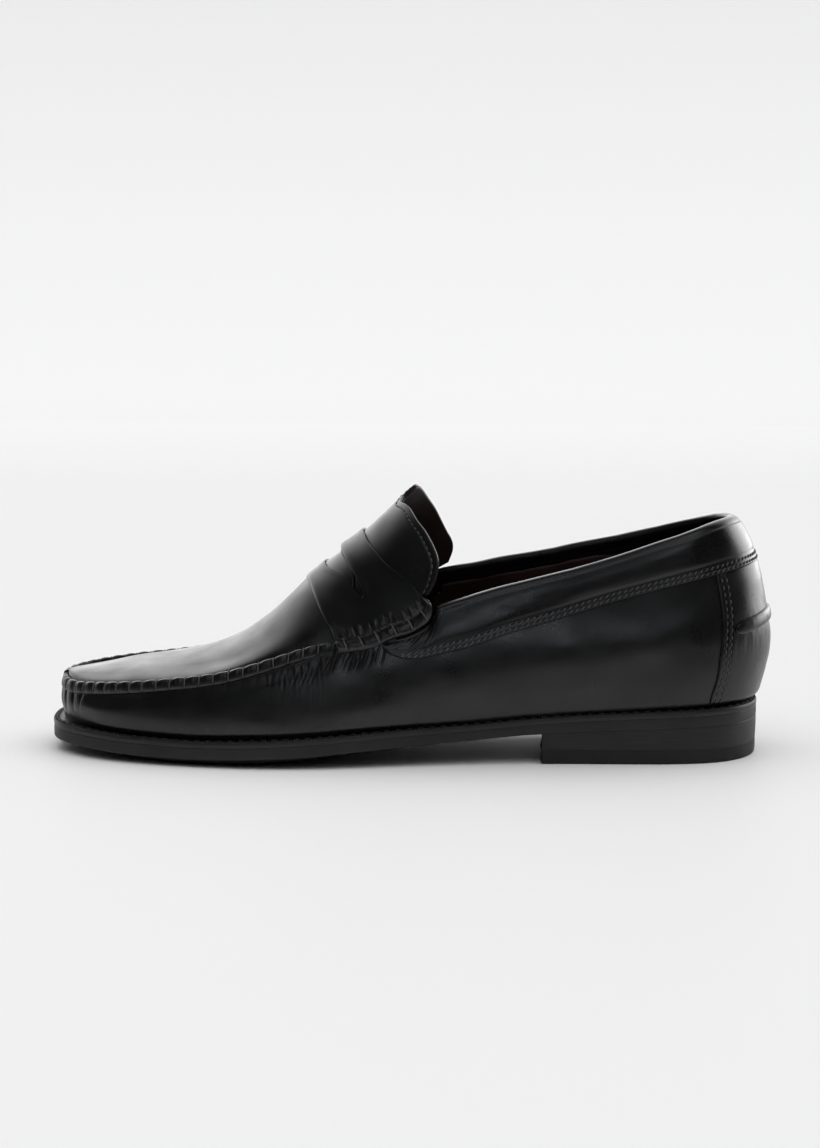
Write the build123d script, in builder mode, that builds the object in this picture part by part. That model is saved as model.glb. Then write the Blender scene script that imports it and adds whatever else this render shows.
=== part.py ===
from build123d import *

import math
import os

os.makedirs("parts", exist_ok=True)

# Men's left penny loafer. Toe to -X, heel to +X, outer (lateral) side to -Y,
# inner (medial) side to +Y, ground plane at z = 0, origin under the middle of
# the overall length. Millimetres.

# ---------------------------------------------------------------------------
# Driving dimensions
# ---------------------------------------------------------------------------

AXIS_Y = 2.55             # long axis of the last (the foot form), towards the inner side
CLEAR = 0.25              # gap between neighbouring pieces

SOLE_FRONT = -149.4       # foremost point of the sole edge
SOLE_REAR = 142.3         # rearmost point of the sole edge
SOLE_ENDS = (-152, 146)   # x range that takes in the whole sole
WELT_THICK = 2.6
WELT_RING = 11.0          # width of the welt strip, under the upper
TREAD_INSET = 8.0         # rounding of the sole underside, as an inset
INSOLE_THICK = 2.3
INSOLE_GROWTH = -0.4      # insole board edge, measured outward from the last
SOCK_THICK = 1.0
SOCK_GROWTH = -0.7
INSOLE_ENDS = (-148, 144)  # x range that takes in the whole insole
SEAT_Z = 6.0              # lowest wall level, which outlines the insole

SHANK_FRONT = -30
SHANK_LENGTH = 104.0
SHANK_WIDTH = 14.0
SHANK_THICK = 1.2
SHANK_LIFT = 0.5          # above the underside of the welt
SHANK_Y = AXIS_Y - 2
SHANK_HOLE_RADIUS = 1.6
SHANK_HOLE_MARGIN = 8     # from each end of the shank

HEEL_BREAST = 54.4        # front face of the heel
HEEL_INSET = 0.5          # heel outline inside the sole edge
TOP_PIECE = 6.0           # thickness of the rubber heel tip
NAIL_RADIUS = 1.0
NAIL_FOOT_Z = 2.8         # lower end of the nails
NAIL_HEAD_SINK = 0.3      # nail heads below the top of the insole board
NAIL_HOLE_RADIUS = 1.3
NAIL_HOLE_LENGTH = 60
NAIL_HOLE_FLOOR = 2.5     # bottom of the blind holes in the heel tip
NAIL_ROWS = ((70, 18), (92, 20), (114, 17))  # x, distance of each nail from the axis
NAIL_SPOTS = [(x, AXIS_Y + side * spread) for x, spread in NAIL_ROWS for side in (-1, 1)]
NAIL_SPOTS += [(130, AXIS_Y)]

PAST_TOE = -155           # x range that takes in the whole upper
PAST_HEEL = 152


def layer_over(below, thickness):
    """Layer (inner face, outer face) lying over another with a small gap."""
    base = below[1] + CLEAR
    return base, base + thickness


# Layers of the upper: inner and outer face, measured outward from the last
LINING = (0.0, 1.0)
STIFF = layer_over(LINING, 0.9)
LEATHER = layer_over(STIFF, 1.4)
OVERLAY = layer_over(LEATHER, 1.15)

# ---------------------------------------------------------------------------
# Measured outlines
# ---------------------------------------------------------------------------

# Stations along the length, 0 at the toe tip and 1 at the heel
STATIONS = (0.006, 0.02, 0.045, 0.085, 0.14, 0.20, 0.28, 0.37, 0.46,
            0.55, 0.64, 0.73, 0.82, 0.89, 0.945, 0.975, 0.993)

# Half-widths of the sole at those stations, outer then inner side
SOLE_LATERAL = (14.0, 22.0, 29.8, 38.0, 45.0, 50.0, 53.8, 53.8, 49.4,
                43.6, 39.0, 36.4, 35.8, 34.4, 29.6, 22.2, 12.4)
SOLE_MEDIAL = (14.6, 22.6, 30.2, 37.6, 43.2, 46.8, 49.2, 47.8, 42.4,
               36.4, 32.6, 32.2, 33.8, 33.8, 29.6, 22.2, 12.4)

# Plan outlines of the upper's leather: height, toe x, heel x,
# half-widths at the stations on the outer side, then on the inner side
WALL_LEVELS = (
    (SEAT_Z, -145.0, 138.0,
     (11.5, 18.8, 26.2, 34.2, 41.2, 46.0, 49.6, 49.6, 45.6,
      40.2, 35.8, 33.2, 32.6, 31.0, 26.4, 19.4, 10.4),
     (12.0, 19.2, 26.6, 33.8, 39.2, 42.6, 45.0, 43.6, 38.4,
      32.4, 28.8, 28.6, 30.2, 30.4, 26.4, 19.4, 10.4)),
    (20.0, -147.2, 140.6,
     (12.4, 19.8, 27.2, 35.2, 42.2, 46.8, 50.4, 50.8, 47.4,
      42.6, 38.2, 35.4, 34.2, 32.2, 27.4, 20.2, 11.0),
     (12.8, 20.2, 27.6, 34.8, 40.6, 44.2, 46.6, 45.6, 41.0,
      35.6, 32.2, 31.6, 32.4, 31.8, 27.4, 20.2, 11.0)),
    (34.0, -145.6, 145.0,
     (11.2, 18.0, 25.0, 32.6, 39.4, 43.6, 46.8, 47.8, 46.4,
      43.0, 39.2, 36.6, 35.0, 32.8, 28.0, 20.6, 11.2),
     (11.6, 18.4, 25.4, 32.2, 38.0, 41.6, 44.2, 44.6, 42.4,
      38.6, 35.2, 33.8, 33.8, 32.6, 28.0, 20.6, 11.2)),
    (48.0, -145.0, 147.2,
     (10.6, 17.0, 23.6, 30.6, 36.6, 40.2, 42.6, 43.4, 42.8,
      40.8, 38.0, 35.8, 34.4, 32.4, 27.8, 20.4, 11.0),
     (10.8, 17.2, 23.8, 30.4, 36.0, 39.4, 41.6, 42.2, 41.0,
      38.4, 35.8, 34.2, 33.6, 32.2, 27.8, 20.4, 11.0)),
    (64.0, -144.6, 145.5,
     (10.0, 16.0, 22.4, 28.8, 33.8, 36.4, 37.4, 37.4, 36.6,
      35.2, 33.6, 32.4, 31.8, 30.4, 26.4, 19.4, 10.4),
     (10.0, 16.0, 22.4, 28.8, 33.6, 36.0, 37.0, 37.0, 36.0,
      34.2, 32.6, 31.8, 31.4, 30.2, 26.4, 19.4, 10.4)),
    (82.0, -144.2, 142.6,
     (9.8, 15.6, 21.6, 27.4, 31.6, 33.2, 33.4, 33.2, 32.6,
      31.6, 30.4, 29.6, 29.2, 28.0, 24.4, 18.0, 9.8),
     (9.8, 15.6, 21.6, 27.4, 31.6, 33.2, 33.4, 33.2, 32.2,
      31.0, 30.0, 29.4, 29.0, 27.8, 24.4, 18.0, 9.8)),
    (114.0, -144.0, 128.0,
     (9.2, 14.8, 20.4, 25.4, 28.8, 30.2, 30.2, 29.8, 29.2,
      28.2, 27.0, 26.2, 25.8, 24.6, 21.2, 15.6, 8.4),
     (9.2, 14.8, 20.4, 25.4, 28.8, 30.2, 30.2, 29.8, 29.2,
      28.2, 27.0, 26.2, 25.8, 24.6, 21.2, 15.6, 8.4)),
)

# Top surface of the upper: station x, then (half-width, height) from the ridge out
TOP_SECTIONS = (
    (-162.0, ((0, 30.0), (12, 29.8), (23, 29.2), (33, 27.4), (40, 23.0), (52, 8.0))),
    (-146.0, ((0, 31.4), (12, 31.2), (22, 30.6), (30, 29.0), (38, 24.0), (52, 8.0))),
    (-128.0, ((0, 34.0), (14, 33.5), (25, 32.2), (32, 30.6), (40, 25.5), (54, 8.0))),
    (-108.0, ((0, 36.8), (16, 36.1), (29, 34.2), (37, 32.2), (45, 27.0), (58, 8.0))),
    (-88.0, ((0, 41.2), (16, 40.2), (30, 37.0), (40, 34.0), (48, 27.5), (60, 8.0))),
    (-68.5, ((0, 50.0), (14, 48.5), (28, 43.8), (40, 37.4), (49, 28.0), (60, 8.0))),
    (-54.0, ((0, 60.6), (13, 58.2), (26, 51.4), (38, 42.4), (48, 30.0), (59, 8.0))),
    (-43.8, ((0, 70.4), (12, 67.6), (25, 58.6), (37, 47.0), (46, 34.0), (57, 8.0))),
    (-32.0, ((0, 80.2), (12, 77.0), (24, 67.6), (35, 54.4), (44, 38.0), (55, 8.0))),
    (-20.4, ((0, 90.0), (12, 86.4), (24, 76.0), (34, 61.6), (42, 44.0), (53, 8.0))),
    (-5.0, ((0, 104.2), (12, 100.4), (24, 89.2), (33, 73.6), (39, 56.0), (50, 8.0))),
    (5.0, ((0, 112.4), (12, 108.6), (24, 97.4), (33, 80.0), (39, 59.0), (50, 8.0))),
    (16.0, ((0, 121.0), (12, 117.4), (24, 106.0), (33, 88.0), (39, 65.0), (50, 8.0))),
)

# Side-view curves of the sole, as (x, z): the welt's top face, the lower line of
# the sole edge, and the tread
WELT_TOP = ((-160, 13.4), (-149.4, 12.8), (-121, 11.3), (-105, 10.9), (-84, 10.6),
            (-45, 12.2), (-5, 15.0), (24, 16.6), (53, 19.0), (86, 21.0), (123, 22.3),
            (142.3, 22.6), (155, 22.7))
EDGE_BOTTOM = ((-160, 5.6), (-149.4, 4.9), (-121, 3.5), (-105, 3.1), (-84, 3.0),
               (-45, 4.5), (-5, 7.8), (24, 9.9), (54, 12.4), (86, 14.0), (123, 15.3),
               (142.3, 15.6), (155, 15.7))
TREAD = ((-160, 7.0), (-149.4, 5.0), (-125, 1.9), (-108, 0.5), (-96, 0.0), (-84, 0.0),
         (-72, 0.0), (-58, 0.6), (-40, 2.6), (-20, 5.3), (0, 7.6), (10, 9.4))

# Side-view seams and edges of the upper, as (x, z)
MOC_SEAM = ((-165, 29.2), (-146, 30.4), (-128, 31.4), (-108, 32.6), (-88, 34.6),
            (-68.5, 38.2), (-54, 41.8), (-43.8, 44.4), (-31, 47.4))
APRON_EDGE = MOC_SEAM + ((-20, 50.0),)
COLLAR_SEAM = ((-13.0, 52.4), (-9.4, 48.6), (-5.6, 46.3), (-1.4, 45.0), (7.1, 45.2),
               (15.5, 46.9), (29.0, 50.4), (46.5, 55.6), (61.2, 59.8), (81.3, 65.8),
               (101.4, 71.2), (125.5, 76.8), (141.0, 79.8), (155, 82.0))
RIM = ((2.0, 65.0), (10.2, 64.0), (17.0, 66.2), (24.6, 68.4), (36.4, 72.2), (46.5, 75.4),
       (61.0, 79.8), (81.1, 85.8), (101.3, 91.8), (121.3, 96.8), (135, 98.8), (155, 100.4))
COUNTER_TOP = ((78, 34.0), (90, 46.0), (104, 55.0), (120, 60.0), (155, 62.0))

# Top edges that stop short of the strap's lower edge, then follow the seams
VAMP_TOP = MOC_SEAM[:-1] + (
    (-34.0, 46.3), (-28.2, 46.6), (-21.8, 46.8), (-15.0, 47.9),
    (-10.0, 49.4), (-4.8, 49.8), (2.0, 49.2), (10.0, 50.0),
) + tuple((x, z + 4.0) for x, z in COLLAR_SEAM[5:])
COLLAR_TOP = (
    (-12.0, 49.0), (-9.0, 50.0), (-4.8, 51.7), (0.2, 53.2), (5.2, 55.5), (8.6, 58.2),
    (10.6, 60.4), (11.6, 62.8), (14.0, 65.0),
) + RIM[2:]
LINING_TOP = (
    (-30.0, 46.2), (-22.0, 46.6), (-15.0, 47.7), (-10.0, 49.4), (-4.8, 51.4), (0.2, 52.9),
    (5.2, 55.2), (8.6, 57.8), (10.6, 59.9), (11.6, 61.6), (14.0, 63.0),
) + tuple((x, z - 2.0) for x, z in RIM[2:])

# Side view of the strap, as (x, z): front, lower and rear edge, then two points above
STRAP_FRONT = ((-44.4, 71.6), (-42.4, 70.4), (-40.2, 67.4), (-37.3, 62.8), (-33.8, 57.9),
               (-30.2, 52.6), (-28.2, 47.2))
STRAP_LOW = ((-28.2, 47.2), (-21.8, 47.4), (-15.0, 48.5), (-10.0, 50.2), (-4.8, 52.2),
             (0.2, 53.7), (5.2, 56.1), (8.6, 59.1), (10.2, 62.4))
STRAP_REAR = ((10.2, 62.4), (9.4, 65.0), (7.2, 67.6), (3.8, 69.4), (0.0, 72.6),
              (-5.2, 77.4), (-11.8, 83.4), (-17.3, 88.2), (-20.2, 91.2))
STRAP_SIDE = STRAP_FRONT + STRAP_LOW[1:] + STRAP_REAR[1:] + ((-24.0, 100.0), (-47.0, 100.0))

# Leaf-shaped slot of the strap, as (across, up the strap)
SLOT_LOWER = ((-27.5, 3.4), (-20.0, 2.0), (-8.0, 2.3), (0.0, 2.8), (8.0, 2.3), (20.0, 2.0),
              (27.5, 3.4))
SLOT_UPPER = ((27.5, 3.4), (22.0, 5.6), (16.0, 7.2), (8.0, 10.2), (0.0, 11.4),
              (-8.0, 10.2), (-16.0, 7.2), (-22.0, 5.6), (-27.5, 3.4))

# Side view of the tongue, and of the space in front of the strap's rear edge that
# the tongue keeps clear of, as (x, z)
TONGUE_SIDE = ((-20.2, 60.0), (-20.2, 88.6), (-19.4, 91.5), (-6.0, 107.0), (2.0, 112.0),
               (3.6, 106.0), (7.0, 92.0), (9.4, 83.0), (8.6, 76.0), (4.0, 73.0))
STRAP_SPACE = ((-60, 30), (12.0, 58.0), (12.0, 63.0), (10.6, 66.6), (8.0, 69.0), (4.4, 70.6),
               (0.8, 73.4), (-4.4, 78.2), (-11.0, 84.2), (-16.6, 89.0), (-20.1, 92.0),
               (-60, 120))

# ---------------------------------------------------------------------------
# Curves and outlines
# ---------------------------------------------------------------------------


def curve(table, x):
    """Smooth (Catmull-Rom) value of a table of (x, value) pairs."""
    if x <= table[0][0]:
        return table[0][1]
    if x >= table[-1][0]:
        return table[-1][1]
    i = 0
    while table[i + 1][0] < x:
        i += 1
    x0, y0 = table[i]
    x1, y1 = table[i + 1]
    width = x1 - x0
    start_slope = end_slope = (y1 - y0) / width
    if i > 0:
        start_slope = (y1 - table[i - 1][1]) / (x1 - table[i - 1][0])
    if i + 2 < len(table):
        end_slope = (table[i + 2][1] - y0) / (table[i + 2][0] - x0)
    return hermite((x - x0) / width, y0, width * start_slope, y1, width * end_slope)


def hermite(t, start, start_tangent, end, end_tangent):
    """Cubic Hermite value at t, from 0 to 1."""
    return ((2 * t**3 - 3 * t**2 + 1) * start + (t**3 - 2 * t**2 + t) * start_tangent
            + (-2 * t**3 + 3 * t**2) * end + (t**3 - t**2) * end_tangent)


def slope(table, x):
    return (curve(table, x + 1) - curve(table, x - 1)) / 2


def flat(z):
    """Level side-view curve."""
    return ((-200, z), (200, z))


def ring_points(front, rear, lateral, medial):
    """Closed plan outline, from the toe tip along the outer side to the heel and back."""
    length = rear - front
    points = [(front, AXIS_Y)]
    points += [(front + length * s, AXIS_Y - w) for s, w in zip(STATIONS, lateral)]
    points += [(rear, AXIS_Y)]
    points += [(front + length * s, AXIS_Y + w)
               for s, w in reversed(list(zip(STATIONS, medial)))]
    return points


def inset(points, distance):
    """Moves every point of a closed outline inward along its normal."""
    moved = []
    for i, here in enumerate(points):
        before, after = points[i - 1], points[(i + 1) % len(points)]
        d0 = math.dist(before, here)
        d1 = math.dist(here, after)
        tx = (after[0] - here[0]) / d1 * d0 + (here[0] - before[0]) / d0 * d1
        ty = (after[1] - here[1]) / d1 * d0 + (here[1] - before[1]) / d0 * d1
        size = math.hypot(tx, ty)
        moved.append((here[0] - ty / size * distance, here[1] + tx / size * distance))
    return moved


def sole_ring(distance):
    """Plan outline of the sole, inset by a distance."""
    return inset(ring_points(SOLE_FRONT, SOLE_REAR, SOLE_LATERAL, SOLE_MEDIAL), distance)


def wall_ring(z, growth):
    """Plan outline of the upper at height z, grown outward of the last."""
    heights, fronts, rears, laterals, medials = zip(*WALL_LEVELS)

    def at_height(values):
        return curve(list(zip(heights, values)), z)

    lateral = [at_height(widths) for widths in zip(*laterals)]
    medial = [at_height(widths) for widths in zip(*medials)]
    ring = ring_points(at_height(fronts), at_height(rears), lateral, medial)
    return inset(ring, LEATHER[1] - growth)


def wall_point(x, z, side, growth):
    """Offset of the wall from the long axis at (x, z), and its plan tangent angle.

    The side is -1 for outer, +1 for inner.
    """
    ring = wall_ring(z, growth)
    half = len(ring) // 2
    points = ring[:half + 1] if side < 0 else [ring[0]] + list(reversed(ring[half:]))
    table = [(px, abs(py - AXIS_Y)) for px, py in points]
    rise = curve(table, x + 0.5) - curve(table, x - 0.5)
    return curve(table, x) * side, math.atan(rise) * side


def grow_section(half, growth):
    """Half cross-section of the top surface, grown outward of the last."""
    extra = growth - LEATHER[1]
    grown = [(0.0, half[0][1] + extra)]
    for i in range(1, len(half)):
        y, z = half[i]
        before, after = half[i - 1], half[min(i + 1, len(half) - 1)]
        dy, dz = after[0] - before[0], after[1] - before[1]
        size = math.hypot(dy, dz)
        grown.append((y - dz / size * extra, z + dy / size * extra))
    return grown


def crown_half(x, growth):
    """Half cross-section of the top surface at x: (half-width, height) from the ridge out."""
    half = [tuple(curve([(sx, section[i][c]) for sx, section in TOP_SECTIONS], x)
                  for c in (0, 1))
            for i in range(len(TOP_SECTIONS[0][1]))]
    return grow_section(half, growth)


def crown_y(x, z, growth):
    """Half-width of the top surface at (x, z)."""
    return curve(sorted((height, width) for width, height in crown_half(x, growth)), z)


def crown_z(x, y, growth):
    """Height of the top surface at (x, y)."""
    return curve(crown_half(x, growth), abs(y))


def ring_samples(ring, spacing):
    """Evenly spaced points along a closed outline, as (x, y, tangent angle)."""
    dense = []
    n = len(ring)
    for i in range(n):
        p0, p1, p2, p3 = ring[i - 1], ring[i], ring[(i + 1) % n], ring[(i + 2) % n]
        d0, d1, d2 = math.dist(p0, p1), math.dist(p1, p2), math.dist(p2, p3)
        for j in range(12):
            dense.append(tuple(
                hermite(j / 12, p1[c], (p2[c] - p0[c]) / (d0 + d1) * d1,
                        p2[c], (p3[c] - p1[c]) / (d1 + d2) * d1)
                for c in (0, 1)))
    edges = list(zip(dense, dense[1:] + dense[:1]))
    total = sum(math.dist(start, end) for start, end in edges)
    count = int(total / spacing)
    step = total / count
    samples = []
    travelled = 0.0
    target = 0.0
    for start, end in edges:
        length = math.dist(start, end)
        while target < travelled + length and len(samples) < count:
            f = (target - travelled) / length
            samples.append((start[0] + (end[0] - start[0]) * f,
                            start[1] + (end[1] - start[1]) * f,
                            math.atan2(end[1] - start[1], end[0] - start[0])))
            target += step
        travelled += length
    return samples


# ---------------------------------------------------------------------------
# Solids that the pieces are cut from
# ---------------------------------------------------------------------------


def walls(growth):
    """The last's side walls, grown outward."""
    with BuildPart() as body:
        for level in WALL_LEVELS:
            with BuildSketch(Plane.XY.offset(level[0])):
                with BuildLine():
                    Spline(*wall_ring(level[0], growth), periodic=True)
                make_face()
        loft()
    return body.part


def crown(growth):
    """The last's top side, grown outward."""
    base_z = -10
    with BuildPart() as body:
        for x, half in TOP_SECTIONS:
            right = grow_section(half, growth)
            full = [(-y, z) for y, z in reversed(right[1:])] + right
            with BuildSketch(Plane(origin=(x, AXIS_Y, 0), x_dir=(0, 1, 0), z_dir=(1, 0, 0))):
                with BuildLine():
                    Spline(*full)
                    Polyline(full[-1], (full[-1][0], base_z), (full[0][0], base_z), full[0])
                make_face()
        loft()
    return body.part


def plan_prism(points, z0, z1):
    """Straight prism over a closed smooth plan outline."""
    with BuildPart() as body:
        with BuildSketch(Plane.XY.offset(z0)):
            with BuildLine():
                Spline(*points, periodic=True)
            make_face()
        extrude(amount=z1 - z0)
    return body.part


def side_prism(lower, upper, x0, x1, lift_lower=0.0, lift_upper=0.0, fine=False):
    """Prism across the shoe between two curves of the side view, from x0 to x1.

    A fine prism has closer points in the region of the strap.
    """
    xs = [x0]
    while xs[-1] < x1:
        xs.append(xs[-1] + (3.5 if fine and -38.0 < xs[-1] < 20.0 else 11.0))
    while len(xs) > 2 and xs[-1] > x1 - 2.0:
        xs.pop()
    xs.append(x1)
    if len(xs) < 6:
        xs = [x0 + (x1 - x0) * i / 6 for i in range(7)]
    low = [(x, curve(lower, x) + lift_lower) for x in xs]
    high = [(x, curve(upper, x) + lift_upper) for x in xs]
    with BuildPart() as body:
        with BuildSketch(Plane.XZ):
            with BuildLine():
                Spline(*low)
                Line(low[-1], high[-1])
                Spline(*reversed(high))
                Line(high[0], low[0])
            make_face()
        extrude(amount=90, both=True)
    return body.part


def polygon_prism(points, shrink=0):
    """Prism across the shoe over a polygon of the side view."""
    with BuildPart() as body:
        with BuildSketch(Plane.XZ):
            with BuildLine():
                Polyline(*points, close=True)
            make_face()
            if shrink:
                offset(amount=-shrink, mode=Mode.REPLACE)
        extrude(amount=60, both=True)
    return body.part


# The last grown to each face of the layers
WALL = {growth: walls(growth) for growth in LINING + STIFF + LEATHER + OVERLAY}
CROWN = {growth: crown(growth) for growth in LINING + STIFF[1:] + LEATHER + OVERLAY}

SOLE_PLAN = plan_prism(sole_ring(0.0), -2, 40)
HEEL_PLAN = plan_prism(sole_ring(HEEL_INSET), -1, 30)


def wall_skin(region, layer):
    """The part of a wall layer that lies in a region."""
    with BuildPart() as body:
        add(region)
        add(WALL[layer[1]], mode=Mode.INTERSECT)
        add(WALL[layer[0]], mode=Mode.SUBTRACT)
    return body.part


def crown_skin(region, layer, wall_limit):
    """The part of a top layer that lies in a region, within the walls grown to a limit."""
    with BuildPart() as body:
        add(region)
        add(CROWN[layer[1]], mode=Mode.INTERSECT)
        add(CROWN[layer[0]], mode=Mode.SUBTRACT)
        add(WALL[wall_limit], mode=Mode.INTERSECT)
    return body.part


# ---------------------------------------------------------------------------
# Sole unit
# ---------------------------------------------------------------------------


def cut_nail_holes(z=0):
    """Cuts the heel's nail holes, centred on height z, from the active part."""
    with Locations(*[(x, y, z) for x, y in NAIL_SPOTS]):
        Cylinder(NAIL_HOLE_RADIUS, NAIL_HOLE_LENGTH, mode=Mode.SUBTRACT)


def outsole():
    """Plate with an inset tread that touches the ground under the ball."""
    with BuildPart() as body:
        add(side_prism(TREAD, EDGE_BOTTOM, -146, 4, lift_upper=1.0))
        add(plan_prism(sole_ring(TREAD_INSET), -2, 40), mode=Mode.INTERSECT)
        add(side_prism(EDGE_BOTTOM, WELT_TOP, *SOLE_ENDS, lift_upper=-WELT_THICK - CLEAR)
            & SOLE_PLAN)
        cut_nail_holes()
    return body.part


def welt():
    """Strip round the whole edge, on top of the outsole."""
    with BuildPart() as body:
        add(side_prism(WELT_TOP, WELT_TOP, *SOLE_ENDS, lift_lower=-WELT_THICK))
        add(SOLE_PLAN, mode=Mode.INTERSECT)
        add(plan_prism(sole_ring(WELT_RING), 0, 40), mode=Mode.SUBTRACT)
    return body.part


def cork_filler():
    """Fills the forefoot well inside the welt."""
    with BuildPart() as body:
        add(side_prism(WELT_TOP, WELT_TOP, -146, -32,
                       lift_lower=-WELT_THICK + 0.1, lift_upper=-0.1))
        add(plan_prism(sole_ring(WELT_RING + 0.3), 0, 40), mode=Mode.INTERSECT)
    return body.part


def shank():
    """Sprung steel strip in the waist, between insole board and outsole."""
    rear = SHANK_FRONT + SHANK_LENGTH
    bottom = -WELT_THICK + SHANK_LIFT
    with BuildPart() as body:
        add(side_prism(WELT_TOP, WELT_TOP, SHANK_FRONT, rear,
                       lift_lower=bottom, lift_upper=bottom + SHANK_THICK))
        with BuildSketch(Plane.XY):
            with Locations((SHANK_FRONT + SHANK_LENGTH / 2, SHANK_Y)):
                SlotOverall(SHANK_LENGTH - 0.5, SHANK_WIDTH)
        extrude(amount=60, mode=Mode.INTERSECT)
        with Locations((SHANK_FRONT + SHANK_HOLE_MARGIN, SHANK_Y, 0),
                       (rear - SHANK_HOLE_MARGIN, SHANK_Y, 0)):
            Cylinder(SHANK_HOLE_RADIUS, 80, mode=Mode.SUBTRACT)
    return body.part


def insole_board():
    """Board on top of the welt, inside the lining."""
    with BuildPart() as body:
        add(side_prism(WELT_TOP, WELT_TOP, *INSOLE_ENDS,
                       lift_lower=CLEAR, lift_upper=INSOLE_THICK))
        add(plan_prism(wall_ring(SEAT_Z, INSOLE_GROWTH), 0, 40), mode=Mode.INTERSECT)
        cut_nail_holes()
    return body.part


def sock_liner():
    """Thin sheet on top of the insole board."""
    bottom = INSOLE_THICK + CLEAR
    with BuildPart() as body:
        add(side_prism(WELT_TOP, WELT_TOP, *INSOLE_ENDS,
                       lift_lower=bottom, lift_upper=bottom + SOCK_THICK))
        add(plan_prism(wall_ring(SEAT_Z, SOCK_GROWTH), 0, 40), mode=Mode.INTERSECT)
    return body.part


def heel_stack():
    """Heel block with a straight front face."""
    with BuildPart() as body:
        add(side_prism(flat(TOP_PIECE + CLEAR), EDGE_BOTTOM, HEEL_BREAST, SOLE_ENDS[1],
                       lift_upper=-CLEAR))
        add(HEEL_PLAN, mode=Mode.INTERSECT)
        cut_nail_holes()
    return body.part


def heel_top_piece():
    """Rubber tip under the heel block, with blind nail holes."""
    with BuildPart() as body:
        add(side_prism(flat(0.0), flat(TOP_PIECE), HEEL_BREAST, SOLE_ENDS[1]))
        add(HEEL_PLAN, mode=Mode.INTERSECT)
        cut_nail_holes(NAIL_HOLE_FLOOR + NAIL_HOLE_LENGTH / 2)
    return body.part


def heel_nails():
    """Nails from the heel tip up into the insole board."""
    with BuildPart() as body:
        for x, y in NAIL_SPOTS:
            top = curve(WELT_TOP, x) + INSOLE_THICK - NAIL_HEAD_SINK
            with BuildSketch(Plane.XY.offset(NAIL_FOOT_Z)):
                with Locations((x, y)):
                    Circle(NAIL_RADIUS)
            extrude(amount=top - NAIL_FOOT_Z)
    return body.part


# ---------------------------------------------------------------------------
# Upper
# ---------------------------------------------------------------------------

BACKSTAY_FRONT = 127.0
BACK_SLIT = 0.4           # opening of the vamp at the back seam
TAB_FRONT = 136           # front ends of the heel tab
TAB_BOTTOM = 53.6
TAB_HEIGHT = 7.4


def vamp():
    """Wall leather from the back seam round the toe, open at the back seam."""
    with BuildPart() as body:
        add(side_prism(WELT_TOP, VAMP_TOP, PAST_TOE, PAST_HEEL, lift_lower=CLEAR, fine=True))
        add(WALL[LEATHER[1]], mode=Mode.INTERSECT)
        add(WALL[LEATHER[0]], mode=Mode.SUBTRACT)
        with Locations((145, AXIS_Y, 60)):
            Box(20, BACK_SLIT, 140, mode=Mode.SUBTRACT)
    return body.part


def apron():
    """Raised plug over the toe, under the strap as far as the tongue's root."""
    region = side_prism(APRON_EDGE, flat(100), PAST_TOE, -22.5, lift_lower=0.4)
    return crown_skin(region, LEATHER, LEATHER[1])


def vamp_lining():
    """Forefoot lining behind the vamp."""
    region = side_prism(WELT_TOP, MOC_SEAM, PAST_TOE, -24, lift_lower=CLEAR, lift_upper=-2.5)
    return wall_skin(region, LINING)


def apron_lining():
    """Forefoot lining under the apron."""
    region = side_prism(APRON_EDGE, flat(100), PAST_TOE, -24, lift_lower=-2.0)
    return crown_skin(region, LINING, LINING[1])


def toe_puff():
    """Stiffener round the toe wall."""
    region = side_prism(WELT_TOP, MOC_SEAM, PAST_TOE, -112, lift_lower=3.0, lift_upper=-1.0)
    return wall_skin(region, STIFF)


def quarter_lining():
    """Skin round the foot opening, up to just under the rim."""
    region = side_prism(WELT_TOP, LINING_TOP, -22.0, PAST_HEEL, lift_lower=CLEAR, fine=True)
    return wall_skin(region, LINING)


def heel_counter():
    """Stiff cup round the heel seat."""
    region = side_prism(WELT_TOP, COUNTER_TOP, 80, PAST_HEEL, lift_lower=1.0)
    return wall_skin(region, STIFF)


def collar_padding():
    """Foam roll behind the collar."""
    region = side_prism(COLLAR_SEAM, RIM, 18, PAST_HEEL, lift_lower=2.0, lift_upper=-2.2)
    return wall_skin(region, STIFF)


def collar():
    """Band round the opening, its top edge folded over padding and lining."""
    with BuildPart() as core:
        add(side_prism(flat(30), RIM, -30, PAST_HEEL, lift_upper=-1.4, fine=True))
        add(WALL[OVERLAY[0]], mode=Mode.INTERSECT)
    with BuildPart() as body:
        add(side_prism(COLLAR_SEAM, COLLAR_TOP, -9.0, PAST_HEEL, fine=True))
        add(WALL[OVERLAY[1]], mode=Mode.INTERSECT)
        add(core.part, mode=Mode.SUBTRACT)
        add(WALL[LINING[0]], mode=Mode.SUBTRACT)
    return body.part


def backstay():
    """Strip down the back of the heel, from the collar to the welt."""
    region = side_prism(WELT_TOP, COLLAR_SEAM, BACKSTAY_FRONT, PAST_HEEL,
                        lift_lower=CLEAR, lift_upper=-0.5)
    return wall_skin(region, OVERLAY)


def heel_tab():
    """Small strip across the backstay."""
    outer_ring = wall_ring(53.0, OVERLAY[1] + 1.4)
    inner_ring = wall_ring(51.0, OVERLAY[1] + 0.3)
    keep_length = 100
    with BuildPart() as body:
        with BuildSketch(Plane.XY.offset(TAB_BOTTOM)):
            with BuildLine():
                Spline(*outer_ring, periodic=True)
            make_face()
            with BuildLine():
                Spline(*inner_ring, periodic=True)
            make_face(mode=Mode.SUBTRACT)
        extrude(amount=TAB_HEIGHT)
        with Locations((TAB_FRONT + keep_length / 2, AXIS_Y, 60)):
            Box(keep_length, 120, 40, mode=Mode.INTERSECT)
    return body.part


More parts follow.
